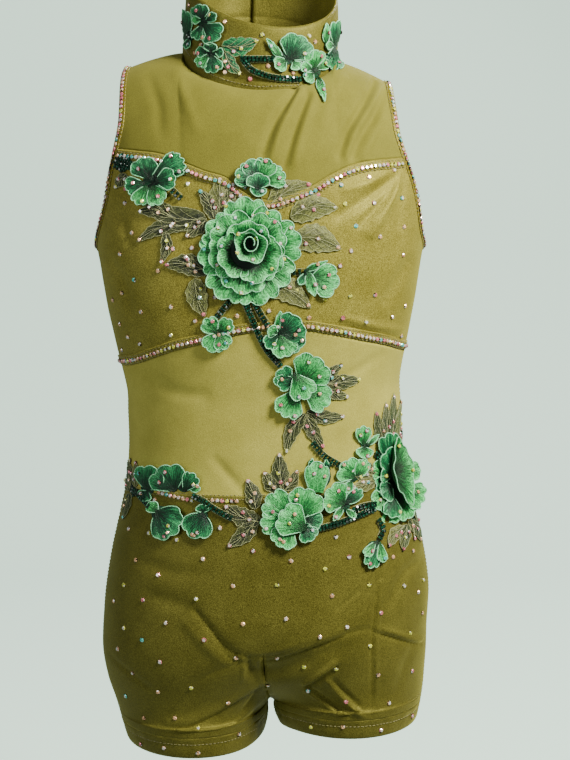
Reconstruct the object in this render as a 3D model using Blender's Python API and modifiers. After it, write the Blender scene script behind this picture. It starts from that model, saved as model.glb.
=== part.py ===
"""Short dance unitard: sleeveless, stand collar, mesh yoke and midriff, satin bust and shorts.

Sizes are in metres. X runs to the viewer's right, -Y is the front and Z is up from the shoulder seams.
"""

import bisect
import math

import bpy
from mathutils import Vector
from mathutils.bvhtree import BVHTree

NAME = "dance_unitard"

CLOTH = 0.0012
BAND_CLOTH = 0.0022
SEAM = 0.0003
SIDE_SEAM = 0.0006
RAISED = 0.0005
BINDING_WIDTH = 0.0062
TRIM_WIDTH = 0.0070
TRIM_CLOTH = 0.0018
HEM_CLOTH = 0.0020
BINDING_OVER = 0.0006
BINDING_UNDER = 0.0018
LEAF_CLOTH = 0.0015
PETAL_CLOTH = 0.0012
# The gaps under the lower and the upper layer of applique
LAYERS = (0.0008, 0.0029)

ARMPIT_Z = -0.124
BLEND_Z = -0.395
CROTCH_Z = -0.482
HEM_TOP_Z = -0.489
HEM_Z = -0.505
SHOULDER_TIP = 0.1015
NECK_HALF_WIDTH = 0.0565
NECK_HALF_DEPTH = 0.0505
NECK_SIDE_Z = 0.0155
NECK_TILT = 0.52
SHOULDER_ARCH = 1.4
COLLAR_BASE = 0.0016
COLLAR_TOP_Z = 0.0680
COLLAR_TOP_TILT = 0.66
COLLAR_TOP_ROLL = -0.12
COLLAR_TAPER = 0.0015
COLLAR_BELLY = 0.0006
COLLAR_STATIONS = 44
# Degrees round the collar: how far each end runs past the back, and where the outer one steps out
BACK_LAP = 8.0
LAP_START = -120.0
LAP_LENGTH = 45.0

ARMHOLE_MIDDLE_Z = -0.06
HEM_AROUND = 34
SQUARE = 2.3
FORM_COLUMNS = 80
FORM_LOW_ROWS = 60
FORM_HIGH_ROWS = 34
# Folds fade out over this depth next to a side seam, and keep this share of their rise at their ends
CALM_DEPTH = 0.02
FOLD_ENDS = 0.55
# Normals are evened over these distances under small applique, roses and trims
EVENED = 0.006
ROSE_EVENED = 0.010
ROSE_BASE_EVENED = 0.020
TRIM_EVENED = 0.003
# Where a reading misses the cloth, the nearest cloth is sought along the sight from this distance on
SEEK_FROM = 1.12
SEEK_STEP = 0.008
SEEK_COUNT = 17
# A patch rises along the cloth's normal up to this height, and straight along its own axis above it
AXIS_FROM = 0.004
ROSE_AXIS_FROM = 0.002

SATIN_ROUGH = 0.45
MESH_ROUGH = 0.8
TRIM_ROUGH = 0.6
THREAD_ROUGH = 0.55
BEAD_ROUGH = 0.2

# The viewer's eye, and the reading scale of the PX and PY columns below.
EYE = Vector((0.0162, -1.25, -0.064))
EYE_TILT = math.radians(7.6)
EYE_FOCAL = 1625.0
EYE_CENTRE = (285.0, 380.0)

# Z, HALF_WIDTH, FRONT, BACK, SQUARE
BODY = (
    (-0.520, 0.1118, 0.066, 0.072, 2.15),
    (-0.505, 0.1152, 0.070, 0.078, 2.15),
    (-0.488, 0.1194, 0.076, 0.086, 2.15),
    (-0.471, 0.1226, 0.081, 0.093, 2.20),
    (-0.455, 0.1254, 0.085, 0.097, 2.25),
    (-0.438, 0.1272, 0.087, 0.098, 2.30),
    (-0.414, 0.1278, 0.087, 0.098, 2.30),
    (-0.390, 0.1266, 0.086, 0.096, 2.30),
    (-0.358, 0.1212, 0.084, 0.090, 2.30),
    (-0.326, 0.1134, 0.081, 0.083, 2.30),
    (-0.304, 0.1085, 0.079, 0.079, 2.30),
    (-0.278, 0.1058, 0.078, 0.077, 2.30),
    (-0.250, 0.1054, 0.078, 0.077, 2.30),
    (-0.231, 0.1054, 0.079, 0.078, 2.30),
    (-0.200, 0.1116, 0.083, 0.080, 2.35),
    (-0.169, 0.1177, 0.086, 0.082, 2.40),
    (-0.140, 0.1221, 0.086, 0.084, 2.45),
    (-0.124, 0.1245, 0.085, 0.085, 2.45),
    (-0.100, 0.1245, 0.083, 0.085, 2.45),
)

# Z, HALF_WIDTH at the outer edge of the armhole binding
ARMHOLE = (
    (-0.1240, 0.1245),
    (-0.1150, 0.1222),
    (-0.1064, 0.1200),
    (-0.0913, 0.1168),
    (-0.0765, 0.1138),
    (-0.0630, 0.1110),
    (-0.0540, 0.1075),
    (-0.0450, 0.1050),
    (-0.0320, 0.1033),
    (-0.0170, 0.1025),
    (0.0000, 0.1015),
)

# Z, TILT of the pose to one side, DRIFT sideways, LEGS share of the tilt taken by whole legs
POSE = (
    (-0.510, 0.135, 0.0062, 1.0),
    (-0.480, 0.110, 0.0045, 0.9),
    (-0.455, 0.088, 0.0018, 0.5),
    (-0.430, 0.070, 0.0002, 0.1),
    (-0.400, 0.058, 0.0016, 0.0),
    (-0.310, 0.030, 0.0015, 0.0),
    (-0.210, 0.042, -0.0010, 0.0),
    (-0.120, 0.000, -0.0026, 0.0),
    (-0.090, -0.012, -0.0008, 0.0),
    (-0.060, -0.025, -0.0018, 0.0),
    (-0.030, -0.040, -0.0032, 0.0),
    (0.000, -0.055, -0.0045, 0.0),
    (0.030, -0.050, -0.0018, 0.0),
    (0.120, -0.050, 0.0002, 0.0),
)
LEG_MIDDLE = 0.0585
LEG_TURN = 0.014

# X share of the width, Z on the sweetheart seam
SWEETHEART = (
    (-1.00, -0.0563),
    (-0.87, -0.0572),
    (-0.68, -0.0591),
    (-0.52, -0.0644),
    (-0.37, -0.0700),
    (-0.22, -0.0748),
    (-0.10, -0.0850),
    (0.00, -0.0893),
    (0.10, -0.0890),
    (0.25, -0.0826),
    (0.34, -0.0785),
    (0.47, -0.0703),
    (0.63, -0.0630),
    (0.78, -0.0597),
    (0.93, -0.0578),
    (1.00, -0.0568),
)

# X share of the width, Z on the underbust seam
UNDERBUST = (
    (-1.00, -0.2125),
    (-0.83, -0.2078),
    (-0.68, -0.2020),
    (-0.55, -0.1972),
    (-0.40, -0.1934),
    (-0.25, -0.1892),
    (-0.08, -0.1858),
    (0.10, -0.1845),
    (0.29, -0.1855),
    (0.45, -0.1893),
    (0.65, -0.1957),
    (0.82, -0.2015),
    (1.00, -0.2105),
)

OLIVE_SATIN = (0.150, 0.130, 0.028)
OLIVE_MESH = (0.330, 0.300, 0.085)
OLIVE_TRIM = (0.190, 0.165, 0.040)
ROSE_GREEN = (0.030, 0.300, 0.120)
FLOWER_GREEN = (0.050, 0.380, 0.170)
LEAF_GREEN = (0.060, 0.110, 0.035)
BEAD_GREEN = (0.004, 0.040, 0.018)


def table(rows, column, at):
    """A smooth value from a short table whose first column rises."""
    keys = [row[0] for row in rows]
    at = min(max(at, keys[0]), keys[-1])
    i = min(max(bisect.bisect_right(keys, at) - 1, 0), len(rows) - 2)
    x0, x1 = keys[i], keys[i + 1]
    y0, y1 = rows[i][column], rows[i + 1][column]
    before = rows[max(i - 1, 0)]
    after = rows[min(i + 2, len(rows) - 1)]
    m0 = (y1 - before[column]) / (x1 - before[0])
    m1 = (after[column] - y0) / (after[0] - x0)
    t = (at - x0) / (x1 - x0)
    h = x1 - x0
    a = (1 + 2 * t) * (1 - t) ** 2 * y0 + t * (1 - t) ** 2 * h * m0
    return a + t * t * (3 - 2 * t) * y1 + t * t * (t - 1) * h * m1


def posed(p):
    """A point of the straight figure moved into the worn pose, one leg higher than the other."""
    whole_leg = LEG_MIDDLE * math.tanh(p[0] / LEG_TURN)
    reach = p[0] + table(POSE, 3, p[2]) * (whole_leg - p[0])
    return Vector(
        (p[0] + table(POSE, 2, p[2]), p[1], p[2] + reach * table(POSE, 1, p[2]))
    )


def depth(side, z):
    return table(BODY, 2 if side < 0 else 3, z)


def neck_point(x, side):
    """The neck seam at x, with x inside its half width."""
    y = (
        side
        * NECK_HALF_DEPTH
        * math.sqrt(max(1 - (x / NECK_HALF_WIDTH) ** 2, 0))
    )
    return y, NECK_SIDE_Z + NECK_TILT * y


def column_top(x, side):
    """Where the cloth ends at the top of a column: the neck seam or the shoulder seam."""
    if abs(x) < NECK_HALF_WIDTH:
        return neck_point(x, side)
    share = (abs(x) - NECK_HALF_WIDTH) / (SHOULDER_TIP - NECK_HALF_WIDTH)
    return 0.0, NECK_SIDE_Z * (1 - share ** SHOULDER_ARCH)


def level(x, side, z):
    """The depth y of the straight figure at x and z, on the front or the back."""
    zz = min(z, ARMPIT_Z)
    a, n = table(BODY, 1, zz), table(BODY, 4, zz)
    y = side * depth(side, zz) * max(1 - (abs(x) / a) ** n, 0) ** (1 / n)
    if z <= ARMPIT_Z:
        return y
    top_y, top_z = column_top(x, side)
    t = min((z - ARMPIT_Z) / (top_z - ARMPIT_Z), 1.0)
    return top_y + (y - top_y) * math.sqrt(1 - t * t)


def arc(x, side, phi):
    """A point of the shoulder form: phi is 0 at the armpit level and 90 degrees at the top."""
    a, n = table(BODY, 1, ARMPIT_Z), table(BODY, 4, ARMPIT_Z)
    y = side * depth(side, ARMPIT_Z) * max(1 - (abs(x) / a) ** n, 0) ** (1 / n)
    top_y, top_z = column_top(x, side)
    return Vector(
        (
            x,
            top_y + (y - top_y) * math.cos(phi),
            ARMPIT_Z + (top_z - ARMPIT_Z) * math.sin(phi),
        )
    )


def spread(s, n=SQUARE):
    """An even share of the way round, turned into a share of the half width."""
    return math.copysign(abs(math.sin(s * math.pi / 2)) ** (2 / n), s)


def form_grid(side):
    """One side of the whole straight form, armholes not cut, for seams to lie on."""
    points, faces = [], []
    cols, low_rows, high_rows = FORM_COLUMNS, FORM_LOW_ROWS, FORM_HIGH_ROWS
    for i in range(cols + 1):
        s = i / cols * 2 - 1
        share = spread(s)
        for j in range(low_rows):
            z = BODY[0][0] + (ARMPIT_Z - BODY[0][0]) * j / low_rows
            a = table(BODY, 1, z)
            points.append(Vector((share * a, level(share * a, side, z), z)))
        for j in range(high_rows + 1):
            phi = math.pi / 2 * j / high_rows
            points.append(arc(share * table(BODY, 1, ARMPIT_Z), side, phi))
    rows = low_rows + high_rows + 1
    for i in range(cols):
        for j in range(rows - 1):
            k = i * rows + j
            quad = (k, k + rows, k + rows + 1, k + 1)
            faces.append(quad if side < 0 else quad[::-1])
    return points, faces


FORMS = {side: BVHTree.FromPolygons(*form_grid(side)) for side in (-1, 1)}


def on_form(p, side):
    """The nearest point of the straight form and its outward normal."""
    hit = FORMS[side].find_nearest(p)
    return hit[0], hit[1]


# Heights of the stations round the armhole, from the armpit to the shoulder tip
FRONT_STATIONS = (
    -0.124, -0.1225, -0.118, -0.108, -0.092, -0.074,
    -0.0565, -0.040, -0.026, -0.013, -0.004, 0.0,
)
BACK_STATIONS = (
    -0.124, -0.1225, -0.118, -0.108, -0.094, -0.080,
    -0.062, -0.043, -0.027, -0.013, -0.004, 0.0,
)
FRONT_CORNER = 6
BACK_CORNER = 5
STATIONS = len(FRONT_STATIONS)


def armhole_loop():
    """The outer edge of the armhole on the +X side, up the front and down the back."""
    loop = []
    for side, heights in ((-1, FRONT_STATIONS), (1, BACK_STATIONS[-2:0:-1])):
        for z in heights:
            x = table(ARMHOLE, 1, z)
            y = 0.0 if z in (FRONT_STATIONS[0], FRONT_STATIONS[-1]) else level(x, side, z)
            loop.append(Vector((x, y, z)))
    return loop


def beside(loop, width):
    """Each point of the armhole moved by width over the form, away from the hole."""
    moved = []
    for i, p in enumerate(loop):
        if i == 0:
            z = ARMPIT_Z - width
            moved.append(Vector((table(BODY, 1, z), 0.0, z)))
            continue
        if i == STATIONS - 1:
            x = SHOULDER_TIP - width
            moved.append(Vector((x, 0.0, column_top(x, -1)[1])))
            continue
        side = -1 if i < STATIONS else 1
        along = (loop[(i + 1) % len(loop)] - loop[i - 1]).normalized()
        normal = on_form(p, side)[1]
        out = along.cross(normal).normalized()
        if out.dot(p - Vector((p.x, 0.0, ARMHOLE_MIDDLE_Z))) < 0:
            out = -out
        moved.append(on_form(p + out * width, side)[0])
    return moved


HOLE = armhole_loop()
HOLE_INNER = beside(HOLE, BINDING_WIDTH + 2 * SEAM)
EDGES = {
    -1: HOLE_INNER[:STATIONS],
    1: HOLE_INNER[:1] + HOLE_INNER[: STATIONS - 2 : -1],
}


def edge_point(side, z):
    """The point of a panel's armhole edge at z, on the +X side."""
    line = EDGES[side]
    i = 0
    while i < len(line) - 2 and line[i + 1].z < z:
        i += 1
    t = (z - line[i].z) / (line[i + 1].z - line[i].z)
    return line[i].lerp(line[i + 1], min(max(t, 0.0), 1.0))


def half_width(side, z):
    """Half the panel width: to the side seam below the armhole, to its binding above."""
    if z <= EDGES[side][0].z:
        return table(BODY, 1, z)
    return edge_point(side, z).x


def straight(rows, at):
    """A value read from a table along straight lines."""
    keys = [row[0] for row in rows]
    at = min(max(at, keys[0]), keys[-1])
    i = min(max(bisect.bisect_right(keys, at) - 1, 0), len(rows) - 2)
    t = (at - keys[i]) / (keys[i + 1] - keys[i])
    return rows[i][1] + (rows[i + 1][1] - rows[i][1]) * t


# X1, Z1, X2, Z2, WIDTH, RISE of the largest folds in the front
FRONT_FOLDS = (
    (-0.050, -0.389, -0.012, -0.434, 0.0075, -0.0020),
    (-0.004, -0.438, 0.078, -0.410, 0.0120, -0.0016),
    (0.028, -0.457, 0.058, -0.430, 0.0070, 0.0014),
    (0.034, -0.455, 0.068, -0.476, 0.0070, -0.0014),
    (-0.076, -0.478, -0.010, -0.455, 0.0080, 0.0014),
    (0.101, -0.062, 0.074, -0.096, 0.0080, -0.0012),
    (0.101, -0.068, 0.050, -0.106, 0.0085, 0.0010),
    (0.024, -0.018, 0.002, -0.058, 0.0080, -0.0012),
    (0.078, -0.012, 0.054, -0.062, 0.0085, -0.0012),
    (0.090, -0.020, 0.068, -0.058, 0.0080, 0.0008),
)

# X1, Z1, X2, Z2, WIDTH, RISE of the largest folds in the back
BACK_FOLDS = (
    (-0.080, -0.300, -0.015, -0.325, 0.0090, -0.0014),
    (0.082, -0.298, 0.020, -0.318, 0.0090, -0.0012),
    (-0.070, -0.462, -0.020, -0.440, 0.0090, -0.0016),
    (0.066, -0.466, 0.018, -0.442, 0.0090, -0.0014),
    (0.085, -0.105, 0.045, -0.135, 0.0090, -0.0010),
)


def relief(side, x, z):
    """How far the folds move the cloth out at x and z."""
    total = 0.0
    for x1, z1, x2, z2, width, rise in FRONT_FOLDS if side < 0 else BACK_FOLDS:
        dx, dz = x2 - x1, z2 - z1
        t = ((x - x1) * dx + (z - z1) * dz) / (dx * dx + dz * dz)
        t = min(max(t, 0.0), 1.0)
        off = math.hypot(x - x1 - t * dx, z - z1 - t * dz)
        swell = FOLD_ENDS + (1 - FOLD_ENDS) * math.sin(math.pi * t)
        total += rise * swell * math.exp(-((off / width) ** 2))
    return total


def folded(p, side):
    """A point of the straight form with the folds added, none at the side seams."""
    calm = min(abs(p.y) / CALM_DEPTH, 1.0)
    p = p.copy()
    p.y += side * calm * relief(side, p.x, p.z)
    return p


def at_seam(p, side):
    """A point moved to its side of the seam that joins the front and the back."""
    p = p.copy()
    p.y = side * SIDE_SEAM / 2
    return p


# X share of the width, Z
BACK_TOP = ((-1.0, -0.0800), (-0.5, -0.0880), (0.0, -0.0920), (0.5, -0.0880), (1.0, -0.0800))
BACK_UNDER = ((-1.0, -0.2125), (-0.5, -0.2085), (0.0, -0.2075), (0.5, -0.2080), (1.0, -0.2105))
WAIST = ((-1.0, -0.3050), (-0.5, -0.3065), (0.0, -0.3075), (0.5, -0.3065), (1.0, -0.3050))
BACK_WAIST = ((-1.0, -0.3050), (-0.5, -0.3040), (0.0, -0.3035), (0.5, -0.3040), (1.0, -0.3050))

# Z, FRONT, BACK half depths of the leg tubes
THIGH = (
    (-0.505, 0.0640, 0.0710),
    (-0.482, 0.0680, 0.0780),
    (-0.440, 0.0760, 0.0880),
    (-0.395, 0.0830, 0.0940),
)

# Z, GAP from the middle to the inside of each leg
LEG_GAP = ((-0.505, 0.0050), (-0.494, 0.0030), (-0.482, 0.0016))


# Shares of the half width where the columns of the panels run, from the middle to the side
FRONT_COLUMNS = (0.0, 0.12, 0.24, 0.36, 0.48, 0.60, 0.71, 0.81, 0.885, 0.94, 0.972, 0.992, 1.0)
BACK_COLUMNS = (0.0, 0.16, 0.32, 0.48, 0.63, 0.76, 0.87, 0.95, 0.985, 1.0)


def both_sides(columns):
    return tuple(-q for q in columns[:0:-1]) + columns


def belt_panel(side, columns, shares, lower, upper):
    """A panel between two seams that runs from side seam to side seam. Rows run upwards."""
    grid = []
    for share in shares:
        row = []
        for q in both_sides(columns):
            z0 = table(lower, 1, q) + SEAM / 2
            z1 = table(upper, 1, q) - SEAM / 2
            z = z0 + (z1 - z0) * share
            x = q * table(BODY, 1, z)
            p = Vector((x, level(x, side, z), z))
            row.append(at_seam(p, side) if abs(q) == 1 else folded(p, side))
        grid.append(row)
    return grid


def bust_panel(side, columns, shares, lower, upper, corner):
    """A satin panel from its lower seam past the armpits to its top seam."""
    line = EDGES[side]
    start = line[0].z
    grid = []
    for share in shares[:-1]:
        row = []
        for q in both_sides(columns):
            z0 = table(lower, 1, q) + SEAM / 2
            z1 = table(upper, 1, q) - SEAM / 2
            middle = z0 + (z1 - z0) * (start - z0) / (line[corner].z - z0)
            middle = start if abs(q) == 1 else middle
            z = z0 + (middle - z0) * share
            x = q * table(BODY, 1, z) if z < start else q * half_width(side, z)
            p = Vector((x, level(x, side, z), z))
            row.append(at_seam(p, side) if abs(q) == 1 else folded(p, side))
        grid.append(row)
    for k in range(corner + 1):
        row = []
        share = (line[k].z - start) / (line[corner].z - start)
        for q in both_sides(columns):
            z0 = table(lower, 1, q) + SEAM / 2
            z1 = table(upper, 1, q) - SEAM / 2
            middle = z0 + (z1 - z0) * (start - z0) / (line[corner].z - z0)
            middle = start if abs(q) == 1 else middle
            z = middle + (z1 - middle) * share
            if abs(q) == 1:
                z = line[k].z - (SEAM / 2 if k == corner else 0.0)
                p = edge_point(side, z)
                p = Vector((math.copysign(p.x, q), p.y, p.z))
                p = at_seam(p, side) if k == 0 else folded(p, side)
            else:
                x = q * half_width(side, z)
                p = folded(Vector((x, level(x, side, z), z)), side)
            row.append(p)
        grid.append(row)
    return grid


def yoke_panel(side, columns, lower, corner, half=0):
    """The mesh up to the shoulder seams and the neck seam, whole or one half of it."""
    shoulder_cols = 4
    cols = len(columns) - 1
    neck_cols = cols - shoulder_cols
    line = EDGES[side]
    tip = line[-1]
    low_z = line[corner].z + SEAM / 2
    phis = [
        math.asin((p.z - ARMPIT_Z) / (column_top(p.x, side)[1] - ARMPIT_Z))
        for p in line[corner:-1]
    ] + [math.pi / 2]
    grid = []
    for j, phi_side in enumerate(phis):
        t = (phi_side - phis[0]) / (phis[-1] - phis[0])
        row = []
        for i in range(-cols, cols + 1):
            if i * half < 0:
                continue
            k = abs(i)
            if k <= neck_cols:
                x_top = NECK_HALF_WIDTH * math.sin(math.pi / 2 * k / neck_cols)
            else:
                x_top = NECK_HALF_WIDTH + (tip.x - NECK_HALF_WIDTH) * (k - neck_cols) / shoulder_cols
            q = math.copysign(columns[k], i)
            z_low = table(lower, 1, q) + SEAM / 2
            x_low = columns[k] * half_width(side, z_low)
            rise = (z_low - ARMPIT_Z) / (column_top(x_low, side)[1] - ARMPIT_Z)
            phi = math.asin(rise) * (1 - t) + math.pi / 2 * t
            wide = line[corner + j].x + (half_width(side, z_low) - line[corner].x) * (1 - t)
            x = (columns[k] + (x_top / tip.x - columns[k]) * t) * wide
            last = j == len(phis) - 1
            if k == cols:
                p = edge_point(side, low_z if j == 0 else line[corner + j].z).copy()
            else:
                p = arc(max(x, SEAM / 2 if half else 0.0), side, phi)
            p = at_seam(p, side) if last and k >= neck_cols else folded(p, side)
            p.x = math.copysign(p.x, i if i else half)
            row.append(p)
        grid.append(row)
    return grid


def leg_point(side, s, z):
    """A point of a leg tube on the +X side: s is 0 at the inside and 1 at the outside."""
    inner = table(LEG_GAP, 1, z) if z < CROTCH_Z else 0.0
    outer = table(BODY, 1, z)
    middle, radius = (inner + outer) / 2, (outer - inner) / 2
    y = side * table(THIGH, 1 if side < 0 else 2, z) * math.sin(math.pi * s)
    return Vector((middle - radius * math.cos(math.pi * s), y, z))


def shorts_grid(side, cols, body_rows, blend_rows):
    """One side of the shorts: a list of rows, each with points from -X to +X."""
    waist = WAIST if side < 0 else BACK_WAIST
    grid = []
    for j in range(body_rows + blend_rows + 2):
        row = []
        for i in range(-cols, cols + 1):
            s = abs(i) / cols
            top = table(waist, 1, spread(i / cols)) - SEAM / 2
            if j <= body_rows:
                z, blend = top + (BLEND_Z - top) * j / body_rows, 0.0
            elif j <= body_rows + blend_rows:
                turn = math.pi / 2 * (j - body_rows) / blend_rows
                z, blend = BLEND_Z + (CROTCH_Z - BLEND_Z) * math.sin(turn), 1 - math.cos(turn)
            else:
                z, blend = HEM_TOP_Z + SEAM / 2, 1.0
            x = spread(s) * table(BODY, 1, z)
            p = Vector((x, level(x, side, z), z))
            p = p.lerp(leg_point(side, s, z), blend)
            if s == 1 or (s == 0 and blend > 0.999):
                p = at_seam(p, side)
            else:
                p = folded(p, side)
            if i < 0:
                p.x = -p.x
            row.append(p)
        grid.append(row)
    return grid


def quads(grid, outward):
    """The faces of a grid whose rows run upwards and whose points run to +X."""
    points = [p for row in grid for p in row]
    wide = len(grid[0])
    faces = []
    for j in range(len(grid) - 1):
        for i in range(wide - 1):
            k = j * wide + i
            face = (k, k + 1, k + wide + 1, k + wide)
            faces.append(face if outward < 0 else face[::-1])
    return points, faces


def shorts_faces(side, grid):
    """The shorts split at the crotch: the last row has one middle point for each leg."""
    points, faces = quads(grid[::-1], side)
    wide = len(grid[0])
    middle = wide // 2
    gap = leg_point(side, 0.0, HEM_TOP_Z + SEAM / 2)
    points[middle] = at_seam(Vector((gap.x, 0.0, gap.z)), side)
    points.append(at_seam(Vector((-gap.x, 0.0, gap.z)), side))
    split = len(points) - 1
    left = []
    for face in faces:
        on_left = middle in face and (middle - 1) in face
        left.append(tuple(split if on_left and k == middle else k for k in face))
    return points, left


COLLECTION = None
SKIN_POINTS, SKIN_FACES = [], []


def make(name, points, faces, colour, rough, wall=0.0):
    """A named mesh object with a material of its own, and a cloth wall behind it if asked."""
    mesh = bpy.data.meshes.new(name)
    mesh.from_pydata([tuple(p) for p in points], [], faces)
    mesh.validate()
    mesh.update()
    obj = bpy.data.objects.new(name, mesh)
    COLLECTION.objects.link(obj)
    material = bpy.data.materials.new(name)
    material.use_nodes = True
    shader = material.node_tree.nodes["Principled BSDF"]
    shader.inputs["Base Color"].default_value = (*colour, 1.0)
    shader.inputs["Roughness"].default_value = rough
    mesh.materials.append(material)
    if wall:
        solid = obj.modifiers.new("cloth", "SOLIDIFY")
        solid.thickness = wall
        solid.offset = -1.0
        solid.use_quality_normals = True
    return obj


def panel(name, points, faces, colour, rough):
    """A posed cloth panel, kept as part of the surface that applique is sewn to."""
    points = [posed(p) for p in points]
    start = len(SKIN_POINTS)
    SKIN_POINTS.extend(points)
    SKIN_FACES.extend(tuple(k + start for k in face) for face in faces)
    return make(name, points, faces, colour, rough, CLOTH)


def loft(name, sections, colour, closed, rough=TRIM_ROUGH):
    """A solid through sections of equal count, a closed ring or a bar with two ends."""
    count = len(sections[0])
    points = [p for section in sections for p in section]
    steps = len(sections) if closed else len(sections) - 1
    faces = []
    for k in range(steps):
        here, there = k * count, (k + 1) % len(sections) * count
        for m in range(count):
            n = (m + 1) % count
            faces.append((here + m, here + n, there + n, there + m))
    if not closed:
        faces.append(tuple(range(count - 1, -1, -1)))
        faces.append(tuple((len(sections) - 1) * count + m for m in range(count)))
    return make(name, points, outward_faces(points, faces), colour, rough)


def outward_faces(points, faces):
    """The faces turned over where the solid they close has a negative volume."""
    volume = 0.0
    for face in faces:
        for m in range(1, len(face) - 1):
            a, b, c = points[face[0]], points[face[m]], points[face[m + 1]]
            volume += a.dot(b.cross(c))
    return faces if volume > 0 else [face[::-1] for face in faces]


def binding(name, sign):
    """The bound edge of one armhole, a flat ring over the form."""
    inner = beside(HOLE, BINDING_WIDTH)
    half = STATIONS - 1
    sections = []
    for k, edge in enumerate(HOLE):
        _, front = on_form(edge, -1)
        _, back = on_form(edge, 1)
        if k in (0, half):
            normal = (front + back).normalized()
        else:
            normal = front if k < half else back
        over, under = normal * BINDING_OVER, normal * -BINDING_UNDER
        section = [edge + over, inner[k] + over, inner[k] + under, edge + under]
        sections.append([posed(Vector((sign * p.x, p.y, p.z))) for p in section])
    return loft(name, sections, OLIVE_TRIM, True)


def yoke_height(x, y):
    """The height of the shoulder form over a point in plan, near the neck."""
    side = -1 if y < 0 else 1
    a, n = table(BODY, 1, ARMPIT_Z), table(BODY, 4, ARMPIT_Z)
    y_low = side * depth(side, ARMPIT_Z) * (1 - (abs(x) / a) ** n) ** (1 / n)
    y_top, z_top = column_top(x, side)
    share = min(max((y - y_top) / (y_low - y_top), 0.0), 1.0)
    return ARMPIT_Z + (z_top - ARMPIT_Z) * math.sqrt(1 - share * share)


def collar_point(turn, top, inset):
    """A point of the collar band: turn is 0 at the front and runs to +X."""
    shrink = COLLAR_TAPER * top + inset
    x = (NECK_HALF_WIDTH + COLLAR_BASE - shrink) * math.sin(turn)
    y = -(NECK_HALF_DEPTH + COLLAR_BASE - shrink) * math.cos(turn)
    low = NECK_SIDE_Z - NECK_TILT * NECK_HALF_DEPTH * math.cos(turn)
    wide = NECK_HALF_WIDTH + COLLAR_BASE
    deep = NECK_HALF_DEPTH + COLLAR_BASE
    low = max(low, yoke_height(wide * math.sin(turn), -deep * math.cos(turn))) + 3 * SEAM
    high = COLLAR_TOP_Z + COLLAR_TOP_TILT * y + COLLAR_TOP_ROLL * x
    belly = COLLAR_BELLY * math.sin(math.pi * top)
    x += belly * math.sin(turn)
    y -= belly * math.cos(turn)
    return Vector((x, y, low + (high - low) * top))


def collar():
    """The stand collar, lapped at the back with the end that lies outside on the -X side."""
    sections = []
    for k in range(COLLAR_STATIONS + 1):
        degrees = -180 - BACK_LAP + (360 + 2 * BACK_LAP) * k / COLLAR_STATIONS
        lap = min(max((LAP_START - degrees) / LAP_LENGTH, 0.0), 1.0)
        out = -(BAND_CLOTH + SEAM) * lap * lap * (3 - 2 * lap)
        turn = math.radians(degrees)
        tall = [collar_point(turn, t, out) for t in (0.0, 0.5, 1.0)]
        short = [collar_point(turn, t, out + BAND_CLOTH) for t in (1.0, 0.5, 0.0)]
        sections.append([posed(p) for p in tall + short])
    return loft("collar", sections, OLIVE_SATIN, False)


def hem(name, sign):
    """The turned hem band round one leg."""
    around, points, faces = HEM_AROUND, [], []
    for z in (HEM_Z, (HEM_Z + HEM_TOP_Z) / 2, HEM_TOP_Z - SEAM / 2):
        for i in range(around):
            turn = i / around * 2
            side = -1 if turn < 1 else 1
            p = leg_point(side, turn if turn <= 1 else 2 - turn, z)
            points.append(posed(Vector((sign * p.x, p.y, p.z))))
    for j in range(2):
        for i in range(around):
            n = (i + 1) % around
            low, high = j * around, (j + 1) * around
            face = (low + i, low + n, high + n, high + i)
            faces.append(face if sign > 0 else face[::-1])
    return make(name, points, faces, OLIVE_SATIN, SATIN_ROUGH, HEM_CLOTH)


def sight(px, py):
    """The direction in which the viewer sees a reading."""
    ahead = Vector((0.0, math.cos(EYE_TILT), -math.sin(EYE_TILT)))
    up = Vector((0.0, math.sin(EYE_TILT), math.cos(EYE_TILT)))
    across, down = px - EYE_CENTRE[0], py - EYE_CENTRE[1]
    return (ahead * EYE_FOCAL + Vector((across, 0.0, 0.0)) - up * down).normalized()


def seen(px, py):
    """The point of the cloth at a reading, or the nearest one to it."""
    way = sight(px, py)
    hit = SKIN.ray_cast(EYE, way)
    if hit[0] is not None and hit[0].y < 0.0:
        return hit[0]
    best = None
    for k in range(SEEK_COUNT):
        near = SKIN.find_nearest(EYE + way * (SEEK_FROM + SEEK_STEP * k))
        if best is None or near[3] < best[3]:
            best = near
    return best[0]


def soft_normal(point, reach=EVENED):
    """The cloth's normal, evened over a few millimetres."""
    total = Vector((0.0, 0.0, 0.0))
    for dx in (-reach, 0.0, reach):
        for dz in (-reach, 0.0, reach):
            total += SKIN.find_nearest(point + Vector((dx, 0.0, dz)))[1]
    return total.normalized()


def polar_solid(name, rings, colour):
    """A closed patch. Each ring is a share and a list of points; the first is the top middle.

    The rings run from the top middle out to the rim and back along the underside.
    """
    points = [rings[0][0]]
    starts = []
    for ring in rings[1:-1]:
        starts.append(len(points))
        points.extend(ring)
    last = len(points)
    points.append(rings[-1][0])
    around = len(rings[1])
    faces = []
    for m in range(around):
        n = (m + 1) % around
        faces.append((0, starts[0] + m, starts[0] + n))
        for here, there in zip(starts, starts[1:]):
            faces.append((here + m, there + m, there + n, here + n))
        faces.append((starts[-1] + m, last, starts[-1] + n))
    return make(name, points, outward_faces(points, faces), colour, THREAD_ROUGH)


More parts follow.
